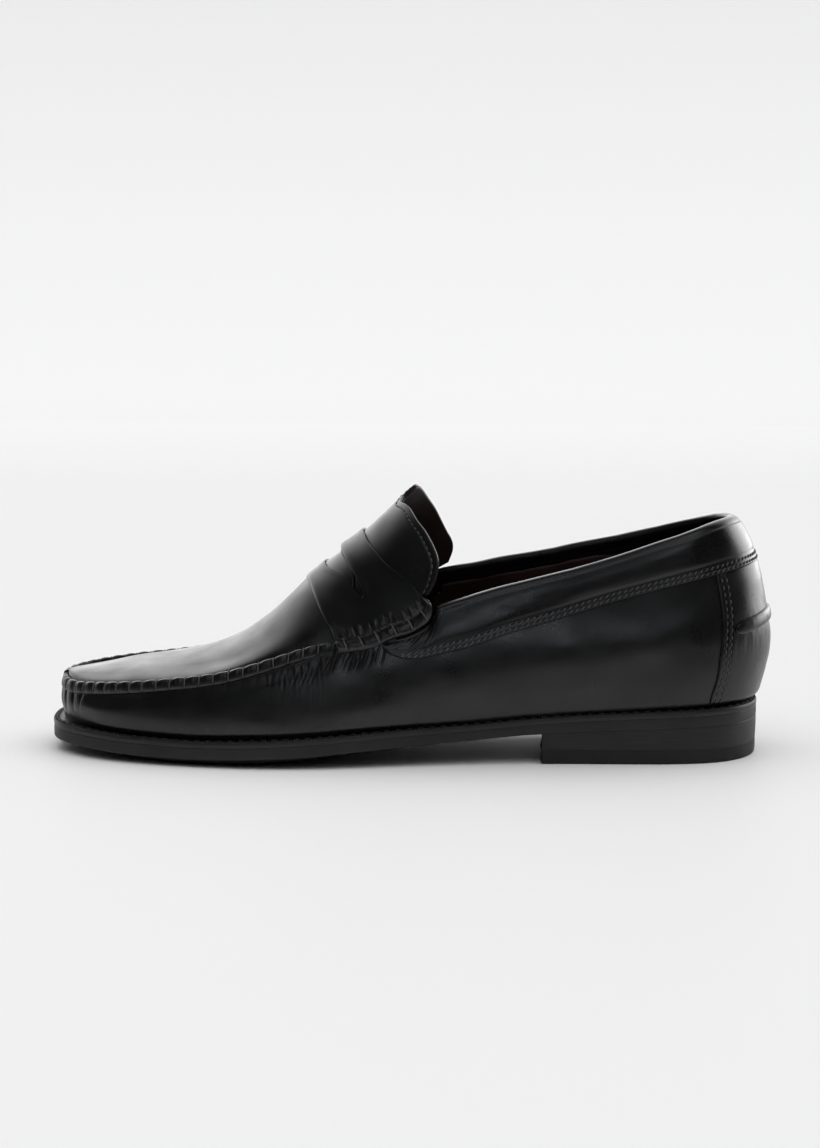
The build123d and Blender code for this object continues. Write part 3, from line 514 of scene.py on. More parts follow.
class Graph:
    """Small helper that fills a shader node tree."""

    def __init__(self, tree, coordinates):
        self.tree = tree
        tree.nodes.clear()
        self.point = self.node("ShaderNodeTexCoord").outputs[coordinates]

    def put(self, socket, value):
        if hasattr(value, "is_output"):
            self.tree.links.new(value, socket)
        elif isinstance(value, tuple) and len(value) < len(socket.default_value):
            socket.default_value = (*value, 1.0)
        else:
            socket.default_value = value

    def node(self, kind, inputs=None, **settings):
        made = self.tree.nodes.new(kind)
        for key, value in settings.items():
            setattr(made, key, value)
        for key, value in (inputs or {}).items():
            self.put(made.inputs[key], value)
        return made

    def mapping(self, **change):
        inputs = {key.title(): value for key, value in change.items()}
        return self.node("ShaderNodeMapping", {"Vector": self.point, **inputs}).outputs[0]

    def noise(self, scale, detail=4.0, roughness=0.5, vector=None):
        inputs = {"Scale": scale, "Detail": detail, "Roughness": roughness,
                  "Vector": vector or self.point}
        return self.node("ShaderNodeTexNoise", inputs).outputs["Fac"]

    def cells(self, scale, feature="F1", vector=None):
        inputs = {"Scale": scale, "Vector": vector or self.point}
        return self.node("ShaderNodeTexVoronoi", inputs, feature=feature).outputs["Distance"]

    def ramp(self, value, low=0.0, high=1.0, start=0.0, end=1.0, kind="LINEAR"):
        """low to high while value goes from start to end."""
        inputs = {"From Min": start, "From Max": end, "To Min": low, "To Max": high,
                  "Value": value}
        return self.node("ShaderNodeMapRange", inputs, interpolation_type=kind).outputs[0]

    def spread(self, noise, low=0.0, high=1.0):
        """low to high over the middle of a noise's range."""
        return self.ramp(noise, low=low, high=high, start=0.3, end=0.7)

    def math(self, operation, a, b):
        return self.node("ShaderNodeMath", {0: a, 1: b}, operation=operation).outputs[0]

    def add(self, a, b):
        return self.math("ADD", a, b)

    def times(self, a, b):
        return self.math("MULTIPLY", a, b)

    def mix(self, factor, a, b):
        return self.node("ShaderNodeMix", {0: factor, 6: a, 7: b}, data_type="RGBA").outputs[2]

    def tones(self, factor, color, dark, light):
        """From color times dark to color times light."""
        return self.mix(factor, tuple(c * dark for c in color), tuple(c * light for c in color))

    def bump(self, height, strength, distance, normal=None):
        inputs = {"Strength": strength, "Distance": distance, "Height": height}
        if normal is not None:
            inputs["Normal"] = normal
        return self.node("ShaderNodeBump", inputs).outputs[0]

    def painted_edge_highlight(self, color, amount, start, end, highlight_color):
        """Painted highlight: lightens the convex edges, where the mesh is pointy."""
        pointiness = self.node("ShaderNodeNewGeometry").outputs["Pointiness"]
        edge = self.ramp(pointiness, start=start, end=end)
        return self.mix(self.times(edge, amount), color, highlight_color)


class Material(Graph):
    SOCKETS = {"color": "Base Color", "rough": "Roughness", "normal": "Normal",
               "metal": "Metallic", "specular": "Specular IOR Level", "coat": "Coat Weight",
               "coat_rough": "Coat Roughness", "coat_normal": "Coat Normal",
               "glow": "Emission Strength", "glow_color": "Emission Color"}

    def __init__(self, name):
        self.material = bpy.data.materials.new(name)
        self.material.use_nodes = True
        super().__init__(self.material.node_tree, "Object")

    def finish(self, **values):
        inputs = {self.SOCKETS[key]: value for key, value in values.items()}
        shader = self.node("ShaderNodeBsdfPrincipled", inputs)
        self.node("ShaderNodeOutputMaterial", {0: shader.outputs[0]})
        return self.material


def calf(name, rough, grain, seed, coat=0.10):
    """Polished black box calf: fine closed grain, wax finish, faint handling marks."""
    m = Material(name)
    place = m.mapping(location=(seed, seed * 0.7, seed * 1.3))
    pores = m.cells(scale=1500.0, feature="DISTANCE_TO_EDGE", vector=place)
    fine = m.noise(scale=2600.0, detail=3.0, roughness=0.6, vector=place)
    wax = m.noise(scale=70.0, detail=4.0, roughness=0.55, vector=place)
    broad = m.noise(scale=22.0, detail=2.0, roughness=0.5, vector=place)
    height = m.add(m.ramp(pores, end=0.25), m.times(fine, 0.55))
    grain_bump = m.bump(height, strength=grain, distance=0.00006)
    color = m.tones(wax, (0.0024, 0.0024, 0.00256), dark=0.75, light=1.5)
    roughness = m.add(m.spread(wax, low=rough - 0.06, high=rough + 0.08),
                      m.spread(broad, low=-0.03, high=0.04))
    return m.finish(
        # painted highlight: the convex edges are lightened
        color=m.painted_edge_highlight(color, amount=0.25, start=0.52, end=0.62, highlight_color=(0.05, 0.05, 0.053)),
        rough=m.add(roughness, m.times(fine, 0.04)),
        normal=m.bump(wax, strength=0.10, distance=0.0006, normal=grain_bump),
        coat=coat, coat_rough=m.spread(wax, low=0.12, high=0.24),
        coat_normal=m.bump(wax, strength=0.05, distance=0.0006), specular=0.5)


def lining_leather(name, color):
    m = Material(name)
    pores = m.cells(scale=1300.0)
    fibre = m.noise(scale=900.0, detail=5.0, roughness=0.65)
    blotch = m.noise(scale=45.0, detail=4.0, roughness=0.6)
    height = m.add(m.times(pores, 0.7), m.times(fibre, 0.5))
    return m.finish(color=m.tones(m.spread(blotch), color, dark=0.65, light=1.35),
                    rough=m.spread(blotch, low=0.5, high=0.68),
                    normal=m.bump(height, strength=0.35, distance=0.00008), specular=0.35)


def sole_leather(name, color=(0.012, 0.012, 0.0135), rough=0.55):
    """Edge-dressed stacked leather with fine horizontal fibre lines."""
    m = Material(name)
    lines = m.mapping(scale=(60.0, 60.0, 2300.0))
    fibre = m.noise(scale=1.0, detail=4.0, roughness=0.6, vector=lines)
    grit = m.noise(scale=1400.0, detail=3.0, roughness=0.6)
    blotch = m.noise(scale=60.0, detail=3.0, roughness=0.5)
    height = m.add(m.times(fibre, 1.0), m.times(grit, 0.35))
    color = m.tones(m.spread(fibre), color, dark=0.7, light=1.35)
    return m.finish(
        # painted highlight: the convex edges are lightened
        color=m.painted_edge_highlight(color, amount=0.35, start=0.53, end=0.64, highlight_color=(0.07, 0.07, 0.075)),
        rough=m.spread(blotch, low=rough - 0.08, high=rough + 0.08),
        normal=m.bump(height, strength=0.35, distance=0.00012), specular=0.4)


def rubber(name):
    m = Material(name)
    grit = m.noise(scale=2000.0, detail=3.0, roughness=0.6)
    dust = m.noise(scale=120.0, detail=4.0, roughness=0.6)
    dusty = m.ramp(dust, start=0.4, end=0.8)
    return m.finish(color=m.tones(dusty, (0.010, 0.010, 0.0115), dark=1.0, light=2.0),
                    rough=m.spread(dust, low=0.6, high=0.78),
                    normal=m.bump(grit, strength=0.3, distance=0.00008), specular=0.35)


def thread(name, color):
    m = Material(name)
    twist = m.node("ShaderNodeTexWave", {
        "Scale": 0.9, "Distortion": 1.5, "Vector": m.mapping(scale=(2600.0, 2600.0, 2600.0)),
    }, bands_direction="DIAGONAL")
    fuzz = m.noise(scale=3000.0, detail=3.0, roughness=0.6)
    height = m.add(twist.outputs["Fac"], m.times(fuzz, 0.4))
    return m.finish(color=m.tones(fuzz, color, dark=0.7, light=1.8), rough=0.42,
                    normal=m.bump(height, strength=0.5, distance=0.00015), specular=0.5)


def plain_fibre(name, dark, light, scale):
    m = Material(name)
    fibre = m.noise(scale=scale, detail=5.0, roughness=0.65)
    height = m.add(fibre, m.cells(scale=scale * 0.8))
    return m.finish(color=m.mix(m.spread(fibre), dark, light), rough=0.8,
                    normal=m.bump(height, strength=0.4, distance=0.0002), specular=0.3)


def steel(name):
    m = Material(name)
    lines = m.mapping(scale=(90.0, 2200.0, 2200.0))
    brushed = m.noise(scale=1.0, detail=4.0, roughness=0.6, vector=lines)
    return m.finish(color=m.mix(brushed, (0.35, 0.35, 0.37), (0.6, 0.6, 0.62)), metal=1.0,
                    rough=m.spread(brushed, low=0.25, high=0.45),
                    normal=m.bump(brushed, strength=0.1, distance=0.0001))


M_VAMP = calf("calf_vamp", rough=0.29, grain=0.22, seed=0.0, coat=0.06)
M_APRON = calf("calf_apron", rough=0.33, grain=0.16, seed=0.11)
M_STRAP = calf("calf_strap", rough=0.31, grain=0.18, seed=0.23)
M_COLLAR = calf("calf_collar", rough=0.28, grain=0.22, seed=0.31)
M_TONGUE = calf("calf_tongue", rough=0.33, grain=0.22, seed=0.43)
M_LINING = lining_leather("lining_burgundy", color=(0.026, 0.0095, 0.0105))
M_SOCK = lining_leather("sock_burgundy", color=(0.022, 0.009, 0.0095))
M_SOLE = sole_leather("sole_edge_charcoal")
M_WELT = sole_leather("welt_charcoal", color=(0.011, 0.011, 0.0125), rough=0.45)
M_HEEL = sole_leather("heel_stack_charcoal")
M_RUBBER = rubber("heel_rubber")
M_THREAD = thread("waxed_thread", color=(0.014, 0.014, 0.015))
M_STITCH = thread("seam_thread", color=(0.055, 0.055, 0.058))
M_CORK = plain_fibre("cork", dark=(0.30, 0.17, 0.08), light=(0.55, 0.36, 0.2), scale=350.0)
M_BOARD = plain_fibre("insole_board", dark=(0.35, 0.24, 0.15), light=(0.5, 0.37, 0.25),
                      scale=700.0)
M_STIFF = plain_fibre("stiffener", dark=(0.3, 0.22, 0.14), light=(0.42, 0.33, 0.22), scale=800.0)
M_FOAM = plain_fibre("foam", dark=(0.45, 0.43, 0.36), light=(0.6, 0.58, 0.5), scale=900.0)
M_STEEL = steel("shank_steel")

# ---------------------------------------------------------------------------
# Sole unit; its tables are x, z
# ---------------------------------------------------------------------------
WELT_TOP = ((-160, 13.4), (-149.4, 12.8), (-121, 11.3), (-105, 10.9), (-84, 10.6),
            (-45, 12.2), (-5, 15.0), (24, 16.6), (53, 19.0), (86, 21.0), (123, 22.3),
            (142.3, 22.6), (155, 22.7))
EDGE_BOTTOM = ((-160, 5.6), (-149.4, 4.9), (-121, 3.5), (-105, 3.1), (-84, 3.0),
               (-45, 4.5), (-5, 7.8), (24, 9.9), (54, 12.4), (86, 14.0), (123, 15.3),
               (142.3, 15.6), (155, 15.7))
TREAD = ((-160, 7.0), (-149.4, 5.0), (-125, 1.9), (-108, 0.5), (-96, 0.0), (-84, 0.0),
         (-72, 0.0), (-58, 0.6), (-40, 2.6), (-20, 5.3), (0, 7.6), (10, 9.4))
OUTSOLE_TOP = 2.62      # depth of the outsole's top below the welt's top
TIP_TOP = 6.0           # top of the rubber top piece
STACK_GAP = 0.02        # clearance above and below the heel stack
HEEL_INSET, HEEL_TAPER, HEEL_TAPER_HEIGHT = 0.17, 0.5, 16.0
WHEEL_PITCH = 1.15
WELT_STITCH_PITCH = 4 * WHEEL_PITCH
# Section of the welt: inset from the sole outline, z from the welt's top
WELT_SECTION = (
    (0.24, -2.60), (0.16, -2.55), (0.08, -2.2), (0.0, -1.2), (0.05, -0.6), (0.28, -0.18),
    (0.7, 0.0), (1.05, 0.05), (1.5, 0.05), (1.95, 0.04), (2.35, 0.0), (2.7, -0.22),
    (3.2, -0.36), (4.6, -0.36), (7.5, -0.3), (10.5, -0.3), (10.5, -2.6), (5.0, -2.6))
# Height of the wheel marks by row of the section; the first two also move sideways
WHEEL_DEPTH = {4: 0.08, 5: 0.18, 6: 0.26, 7: 0.26, 8: 0.22, 9: 0.16, 10: 0.08}


def welt_top(x):
    return curve(WELT_TOP, x)


def edge_bottom(x):
    return curve(EDGE_BOTTOM, x)


def sole_solid(name, material, count, profile, inner, breast=None):
    """Solid over the sole outline, from the toe or from x = breast back to the heel.

    profile(x) gives (inset, z) rows from the top face over the edge to the bottom face;
    inner columns run across each face between the two sides."""
    xs = SOLE_SIDES[-1][0]
    a = np.linspace(0, 1, count)
    if breast is None:
        x = xs[0] + (xs[-1] - xs[0]) * ((1 - np.cos(np.pi * a)) / 2)
    else:
        x = breast + (xs[-1] - breast) * np.sin(np.pi / 2 * a)
    rows = profile(x)
    inset, z = (np.stack([np.broadcast_to(row[i], x.shape) for row in rows], 1) for i in (0, 1))
    sides = []
    for side, toe_t in ((-1, 0.0), (1, 1.0)):
        t = t_at(x, side, SOLE_SIDES)
        if breast is None:
            t[0] = toe_t
        t[-1] = SOLE_RING.heel
        sides.append(np.concatenate([sole(t[:, None], inset), z[..., None]], -1))
    outer_side, inner_side = sides
    r = np.linspace(0, 1, inner + 2)[1:-1][None, :, None]
    top = inner_side[:, :1] * (1 - r) + outer_side[:, :1] * r
    bottom = outer_side[:, -1:] * (1 - r) + inner_side[:, -1:] * r
    loops = np.concatenate([outer_side, bottom, inner_side[:, ::-1], top], 1)
    if breast is not None:
        # round the vertical front edges very slightly
        for i, amount in ((0, 0.55), (1, 0.2), (2, 0.05)):
            middle = loops[i].mean(0)[1]
            loops[i, :, 1] = middle + (loops[i, :, 1] - middle) * (1 - amount / 36.0)
    _, size, _ = loops.shape
    # end caps pair the loop's two halves, starting at the middle of the bottom
    order = np.roll(np.arange(size), -(len(rows) + inner // 2))
    h = np.arange(size // 2 - 1)
    caps = np.stack([order[h], order[h + 1], order[size - 2 - h], order[size - 1 - h]], -1)
    quads = np.concatenate([loft_quads(count, size, cap=False),
                            caps[:, ::-1], caps + (count - 1) * size])
    return weld(quad_object(name, loops.reshape(-1, 3), quads, material), 4e-6)


def outsole_profile(x):
    top, low = welt_top(x) - OUTSOLE_TOP, edge_bottom(x)
    # lowest line of the rounded underside
    deep = np.minimum(curve(TREAD, np.minimum(x, 9.0)), low - 0.5)
    deep = np.where(x > 9.0, low - 0.5, deep)
    height = top - low
    rounding = fade(x, 46.0, 54.0)
    rows = [(10.0, top), (4.0, top), (0.30, top), (0.20, top - 0.05)]
    rows += [(0.20 - 0.08 * np.sin(np.pi * s), top - height * s)
             for s in np.linspace(0.06, 0.86, 9)]
    for s in np.linspace(0.15, 1.0, 6):
        angle = s * np.pi / 2
        rows.append((0.22 + 1.5 * rounding * (1 - np.cos(angle)),
                     low + height * (0.12 * rounding + 0.01) * (1 - np.sin(angle))))
    rows += [(1.8 + 9.5 * s, low + (deep - low) * np.sin(s * np.pi / 2) ** 1.2)
             for s in np.linspace(0.08, 1.0, 9)]
    return rows


def heel_profile(bottom, top, bottom_round):
    """Tapered block between two heights with small roundings."""
    top_round = 0.03

    def inset(z):
        return HEEL_INSET + HEEL_TAPER * (1 - z / HEEL_TAPER_HEIGHT)

    rows = [(10.0, top), (3.0, top), (inset(top) + top_round, top),
            (inset(top) + top_round * 0.3, top - top_round * 0.6)]
    for i in range(14):
        s = (i + 0.5) / 14
        z = top - top_round - (top - bottom - top_round - bottom_round) * s
        rows.append((inset(z) - 0.1 * np.sin(np.pi * s), z))
    for s in np.linspace(0, 1, 5):
        angle = s * np.pi / 2
        rows.append((inset(bottom) + bottom_round * (1 - np.cos(angle)),
                     bottom + bottom_round * (1 - np.sin(angle))))
    return rows + [(3.0 + inset(bottom), bottom), (10.0, bottom)]


def make_outsole():
    return sole_solid("outsole_visual", M_SOLE, 420, outsole_profile, 20)


def make_welt():
    """Strip all round with a wheeled top edge."""
    count = 4200
    t = np.arange(count) / count
    top = welt_top(sole_xy(t)[:, 0])
    length = SOLE_RING.length
    pitch = length / round(length / WHEEL_PITCH)
    wheel = signed_power(np.cos(2 * np.pi * t * length / pitch), 0.6)
    loops = np.zeros((count, len(WELT_SECTION), 3))
    for j, (inset, z) in enumerate(WELT_SECTION):
        loops[:, j, :2] = sole(t, inset + (0.05 * wheel if j in (4, 5) else 0.0))
        loops[:, j, 2] = top + z + WHEEL_DEPTH.get(j, 0.0) * wheel
    return loft("welt_visual", loops, M_WELT, closed=True)


def make_heel_stack():
    def profile(x):
        return heel_profile(TIP_TOP + STACK_GAP, edge_bottom(x) - STACK_GAP, 0.03)

    return sole_solid("heel_stack_visual", M_HEEL, 200, profile, 12, HEEL_BREAST)


def make_heel_tip():
    return sole_solid("heel_top_piece_visual", M_RUBBER, 200,
                      lambda x: heel_profile(0.0, TIP_TOP, 0.9), 12, HEEL_BREAST)


def make_welt_stitches():
    paths = []
    count = int(round(SOLE_RING.length / WELT_STITCH_PITCH))
    for i in range(count):
        plan = sole((i + 0.5) / count + 1.35 * STITCH / SOLE_RING.length, 1.5)
        z = welt_top(plan[:, 0]) + 0.17 + 0.10 * np.cos(1.4 * STITCH)
        paths.append((np.concatenate([plan, z[:, None]], 1), np.tile([0.0, 0.0, 1.0], (6, 1))))
    return threads("welt_stitching_visual", paths, 0.30, M_THREAD)


# ---------------------------------------------------------------------------
# Moccasin seam, shared by the vamp's top edge, the apron and its rolled edge
# ---------------------------------------------------------------------------
SEAM_PITCH = 6.0
SEAM_INSET = 2.4        # depth of the seam inside the wall surface
SEAM_END_X = -24.0      # under the strap
# x, z
MOC_SEAM = ((-165, 29.2), (-146, 30.4), (-128, 31.4), (-108, 32.6), (-88, 34.6),
            (-68.5, 38.2), (-54, 41.8), (-43.8, 44.4), (-36, 45.9), (-28, 47.6),
            (-20, 49.0), (-12, 51.0))
# x, shift in z from the plain line, on each side
SEAM_SHIFT_OUTER = ((-150, -1.4), (-143, -2.0), (-138, -2.5), (-125, -1.7), (-115, -1.1),
                    (-105, -0.5), (-95, 0), (-75, 0), (-62, 0.9), (-48, 1.9), (-37, 2.6),
                    (-24, 1.6))
SEAM_SHIFT_INNER = ((-150, -1.2), (-143, -0.6), (-120, 0.0), (-60, 0.0))
SEAM_T_OUTER = float(t_at(SEAM_END_X, -1))
SEAM_T_INNER = float(t_at(SEAM_END_X, 1)) - 1.0     # as a negative ring position


def signed(t):
    """Ring position from -0.5 to 0.5, positive on the outer side."""
    t = np.mod(np.asarray(t, float), 1.0)
    return np.where(t > 0.5, t - 1.0, t)


def seam_shift(x, is_outer):
    return np.where(is_outer, np.interp(x, *np.transpose(SEAM_SHIFT_OUTER)),
                    np.interp(x, *np.transpose(SEAM_SHIFT_INNER)))


def seam_points(t, inset=SEAM_INSET):
    x = wall_x(t)
    return wall_and_normal(t, curve(MOC_SEAM, x) + seam_shift(x, signed(t) >= 0), SKIN - inset)


# Stitches along the seam by arc length from the toe tip, positive on the outer side
RANDOM = np.random.RandomState(7)
OUTER_STITCHES = int(SEAM_T_OUTER * ARC / SEAM_PITCH)
INNER_STITCHES = int(-SEAM_T_INNER * ARC / SEAM_PITCH)
STITCH_COUNT = OUTER_STITCHES + INNER_STITCHES + 1
STITCH_ARC = ((np.arange(-INNER_STITCHES, OUTER_STITCHES + 1) + 0.5) * SEAM_PITCH
              + RANDOM.uniform(-0.25, 0.25, STITCH_COUNT))
STITCH_PULL = RANDOM.uniform(0.7, 1.25, STITCH_COUNT)
STITCH_FALL = RANDOM.uniform(0.6, 1.4, STITCH_COUNT)
STITCH_TILT = RANDOM.uniform(-0.16, 0.16, STITCH_COUNT)


def nearest_stitch(arc):
    i = np.clip(np.searchsorted(STITCH_ARC, arc), 1, len(STITCH_ARC) - 1)
    before = np.abs(arc - STITCH_ARC[i - 1]) < np.abs(arc - STITCH_ARC[i])
    return np.where(before, i - 1, i)


def toe_weight(arc):
    """1 round the very tip of the toe, 0 along the sides."""
    return fade(np.abs(arc + 2.0), 17.0, 33.0)


def pleats(arc, down):
    """Relief of the gathers, down mm below the seam: grooves under the stitches, bulges
    between them, and finer gathers in patches."""
    i = nearest_stitch(arc)
    toe = toe_weight(arc)
    flex = smooth(np.abs(arc), 95.0, 112.0) * fade(np.abs(arc), 150.0, 165.0)
    patch = 0.5 + 0.5 * np.clip(ripple(37, arc / 17.0 + 21.0, 3.0) * 2.0 + 0.3, -1, 1)
    below = np.clip(down, 0, None)
    depth = (0.10 + 0.16 * patch + 0.72 * toe) * STITCH_PULL[i]
    length = (2.6 + 1.8 * patch + 10.0 * toe) * STITCH_FALL[i]
    width = 0.62 + 0.75 * toe * smooth(down, 0, 12)
    offset = arc - STITCH_ARC[i] - STITCH_TILT[i] * down
    bulge = 0.38 * (1 - bell(offset, 2.1))
    fine = ripple(31, (arc - 0.22 * down) / 0.95 + 60.0, down / 6.0 + 10.0)
    fine = fine * (0.20 * patch * (1 - toe) + 0.10 * flex)
    fine = fine * np.exp(-below / (2.2 + 2.4 * patch + 1.0 * flex)) * smooth(down, -1.0, 1.5)
    return depth * np.exp(-below / length * 1.2) * (bulge - bell(offset, width)) + fine


# ---------------------------------------------------------------------------
# Vamp: wall leather all round, and the toe puff behind it
# ---------------------------------------------------------------------------
# x, z of the top edge
VAMP_TOP = ((-165, 25.4), (-146, 26.6), (-128, 27.6), (-108, 28.8), (-88, 30.8), (-68.5, 34.4),
            (-54, 38.0), (-43.8, 40.8), (-36, 43.0), (-31, 45.6), (-27, 48.6), (-21, 50.0),
            (-15, 51.2), (-9, 52.0), (-4, 51.0), (4.0, 50.4), (15.5, 50.8), (29.0, 53.6),
            (46.5, 58.6), (61.2, 62.8), (81.3, 69.0), (101.4, 74.4), (125.5, 80.0), (155, 84.0))


def make_vamp():
    count, rows = 1700, 64
    t = (np.arange(count) / count)[:, None]
    x = wall_x(t)[:, None]
    arc = signed(t) * ARC
    bottom = welt_top(x) - 0.35
    top = curve(VAMP_TOP, x) + seam_shift(x, signed(t) >= 0) * fade(x, -30.0, -20.0)
    front = fade(x, -33.0, -28.0)           # 1 where the rolled seam sits on the top edge
    z = bottom + (top - bottom) * np.linspace(0, 1, rows) ** 0.92
    down, rise = top - z, z - bottom
    toe = toe_weight(arc)
    # tucks in at the feather line, more at the toe
    reach = SKIN - 1.0 * fade(rise, 0.0, 3.6) ** 1.4
    reach -= 1.65 * fade(np.abs(arc), 16.0, 44.0) * fade(rise, 3.0, 14.0)
    # rolls in to the seam at the top, and gathers
    reach -= front * 1.25 * fade(down, -0.5, 7.5) ** 1.5
    reach += front * pleats(arc, down)
    # fuller quarter below the collar
    reach += (1.55 * bell(z - 49.0 - 0.10 * (x - 85.0), 9.0) * bell(x - 86.0, 34.0)
              * smooth(x, 20.0, 60.0))
    # pulled-down wrinkles under the strap's end
    wrinkled = bell(x + 26.0, 13.0) * fade(down, 4.0, 12.5) * smooth(down, 0.0, 3.0)
    reach += wrinkled * 0.62 * ripple(51, (arc + down * 0.30) / 0.95 + 90, down / 8.0 + 5.0)
    # soft swells that break the reflections
    reach += (0.30 * ripple(71, arc / 24.0 + 20, z / 16.0) * smooth(rise, 2.0, 12.0)
              * (1 - 0.6 * toe))
    # lasting creases near the welt
    reach += 0.10 * ripple(91, arc / 2.6 + 40, z / 14.0) * fade(rise, 1.0, 9.0)
    reach = np.maximum(reach, 2.15 + 0.60 * smooth(np.abs(arc), 34.0, 50.0))
    lip = wall(t, top + np.array([0.25, 0.05]), reach[:, -1:] - np.array([0.45, 1.0]))
    # the back face follows the front at twelve of its rows
    behind = reach[:, [int(round(row)) for row in np.linspace(rows - 1, 0, 12)]]
    back = wall(t, (top - 0.5) + (bottom - top + 0.6) * np.linspace(0, 1, 12),
                np.minimum(2.35, behind - 0.75))
    loops = np.concatenate([wall(t, z, reach), lip, back], 1)
    return loft("vamp_visual", loops, M_VAMP, closed=True)


def make_toe_puff():
    t = np.linspace(-34.0, 34.0, 90)[:, None] / ARC
    x = wall_x(t)[:, None]
    low = welt_top(x) + 2.2
    high = curve(VAMP_TOP, x) + seam_shift(x, t >= 0) - 4.2
    z = low + (high - low) * np.linspace(0, 1, 14)
    return wall_shell("toe_puff_visual", t, z, 1.0, 0.3, M_STIFF)


# ---------------------------------------------------------------------------
# Apron: crowned plug with a rolled, stitched edge
# ---------------------------------------------------------------------------
APRON_REAR = -23.0
# Section of the roll: outward, up, and how much the stitches move the point
ROLL_SECTION = (
    (-2.6, -1.35, 0.0), (-1.75, -0.75, 0.1), (-1.25, 0.05, 0.3), (-0.75, 0.62, 0.6),
    (0.0, 0.86, 0.85), (0.8, 0.72, 1.0), (1.4, 0.25, 1.0), (1.8, -0.5, 1.0),
    (2.0, -1.35, 1.0), (2.1, -2.2, 0.9), (2.1, -3.0, 0.7), (1.85, -3.6, 0.5),
    (1.3, -3.95, 0.3), (0.4, -4.05, 0.0), (-0.9, -3.4, 0.0), (-2.0, -2.4, 0.0))
# Path of one stitch over the roll: outward, up
MOC_STITCH = ((-1.5, 0.15), (-0.85, 0.72), (0.0, 0.86), (0.85, 0.62), (1.5, 0.05),
              (1.85, -0.75), (2.02, -1.6), (2.05, -2.5), (1.8, -3.2))


def make_apron_skin():
    count, columns = 520, 121
    edge_inset = 3.0
    toe = np.array([0.0])
    tip = seam_points(toe, edge_inset)[0][0]
    front = float(seam_points(toe)[0][0, 0])
    a = np.linspace(0, 1, count)
    x = front + (APRON_REAR - front) * (1 - np.cos(a * np.pi / 2))
    x = np.maximum(x, tip[0] + 1e-4)

    def edge(t, is_outer):
        """y, arc position and needed drop of one side edge, as columns."""
        line = seam_points(t, edge_inset)[0]
        order = np.argsort(line[:, 0])
        y = np.interp(x, line[order, 0], line[order, 1])
        y[0] = tip[1]
        arc = np.interp(x, line[order, 0], (t * ARC)[order])
        drop = (curve(MOC_SEAM, x) + seam_shift(x, is_outer) - 0.9
                - crown(x, w_from_y(x, y - AXIS_Y), SKIN)[:, 2])
        return y[:, None], arc[:, None], drop[:, None]

    y_outer, arc_outer, drop_outer = edge(np.linspace(0, SEAM_T_OUTER + 0.01, 1500), True)
    y_inner, arc_inner, drop_inner = edge(np.linspace(SEAM_T_INNER - 0.01, 0, 1500), False)
    r = np.linspace(-1, 1, columns)[None]
    y = (y_outer * (1 - r) + y_inner * (1 + r)) / 2
    x = x[:, None]
    top = crown(x, w_from_y(x, y - AXIS_Y), SKIN)
    z = top[..., 2]
    z += np.where(r < 0, drop_outer, drop_inner) * np.abs(r) ** 3.0
    edge_gap = np.minimum(np.abs(y - y_outer), np.abs(y - y_inner))
    # swell inside a groove along the edge
    z += 0.25 * smooth(edge_gap, 0.0, 9.0)
    z -= 0.62 * bell(edge_gap - 1.5, 1.7) * smooth(edge_gap, 0, 0.8)
    # hollow at the flex line, flatter towards the toe, soft swells
    z -= 1.5 * bell(x + 74.0, 17.0) * smooth(edge_gap, 0.0, 16.0)
    z -= 0.9 * fade(x, -135.0, -110.0) * smooth(edge_gap, 1.0, 10.0)
    z += 0.22 * ripple(111, x / 26.0 + 30, y / 20.0 + 9) * smooth(edge_gap, 2.0, 12.0)
    # small gathers that run in from the rolled edge
    arc = np.where(r < 0, arc_outer, arc_inner)
    z += 0.13 * ripple(131, arc / 2.2 + 50, edge_gap / 5.0) * np.exp(-edge_gap / 2.2)
    under = top - np.array([0.0, 0.0, 1.5])
    return weld(loft("apron_visual", np.concatenate([top, under[:, ::-1]], 1), M_APRON))


def make_apron_roll():
    """Rolled edge, pinched by every stitch."""
    count = 1500
    t = np.linspace(SEAM_T_INNER + 0.004, SEAM_T_OUTER - 0.004, count)
    arc = t * ARC
    i = nearest_stitch(arc)
    offset = arc - STITCH_ARC[i]
    pinch = bell(offset, 0.7) * STITCH_PULL[i]
    puff = 1 - bell(offset, 2.3)
    wobble = ripple(151, arc / 3.0 + 80, 2.5)
    fine = ripple(157, arc / 0.9 + 33, 1.5)
    base, normal = seam_points(t)
    loops = np.zeros((count, len(ROLL_SECTION), 3))
    for j, (out, up, give) in enumerate(ROLL_SECTION):
        side = out + give * (-0.36 * pinch + 0.26 * puff + 0.10 * wobble)
        side = side + give * 0.10 * fine * (up < 0.5)
        loops[:, j] = base + normal * side[:, None]
        loops[:, j, 2] += up
        if up > 0:
            loops[:, j, 2] += 0.34 * (puff * 0.9 - 0.9 * pinch) * (give > 0.2) + 0.30
    return loft("apron_roll", loops, M_APRON)


def make_moccasin_stitches():
    """Each thread climbs over the roll and dives in at its foot."""
    paths = []
    count = len(MOC_STITCH)
    for arc, tilt in zip(STITCH_ARC, STITCH_TILT):
        t = arc / ARC
        if not SEAM_T_INNER + 0.006 < t < SEAM_T_OUTER - 0.012:
            continue
        (base,), (normal,) = seam_points(np.array([t]))
        along = np.array([-normal[1], normal[0], 0.0])
        points = []
        for out, up in MOC_STITCH:
            point = base + normal * (out - 0.24) + along * (tilt * 1.2 * (-up) * 0.5)
            point[2] += up + (0.22 if up > 0 else 0.0)
            points.append(point)
        ups = (normal * np.linspace(0.2, 1, count)[:, None]
               + np.array([0, 0, 1.0]) * np.linspace(1, 0.1, count)[:, None])
        paths.append((np.array(points), ups))
    return threads("moccasin_stitching_visual", paths, 0.30, M_STITCH)


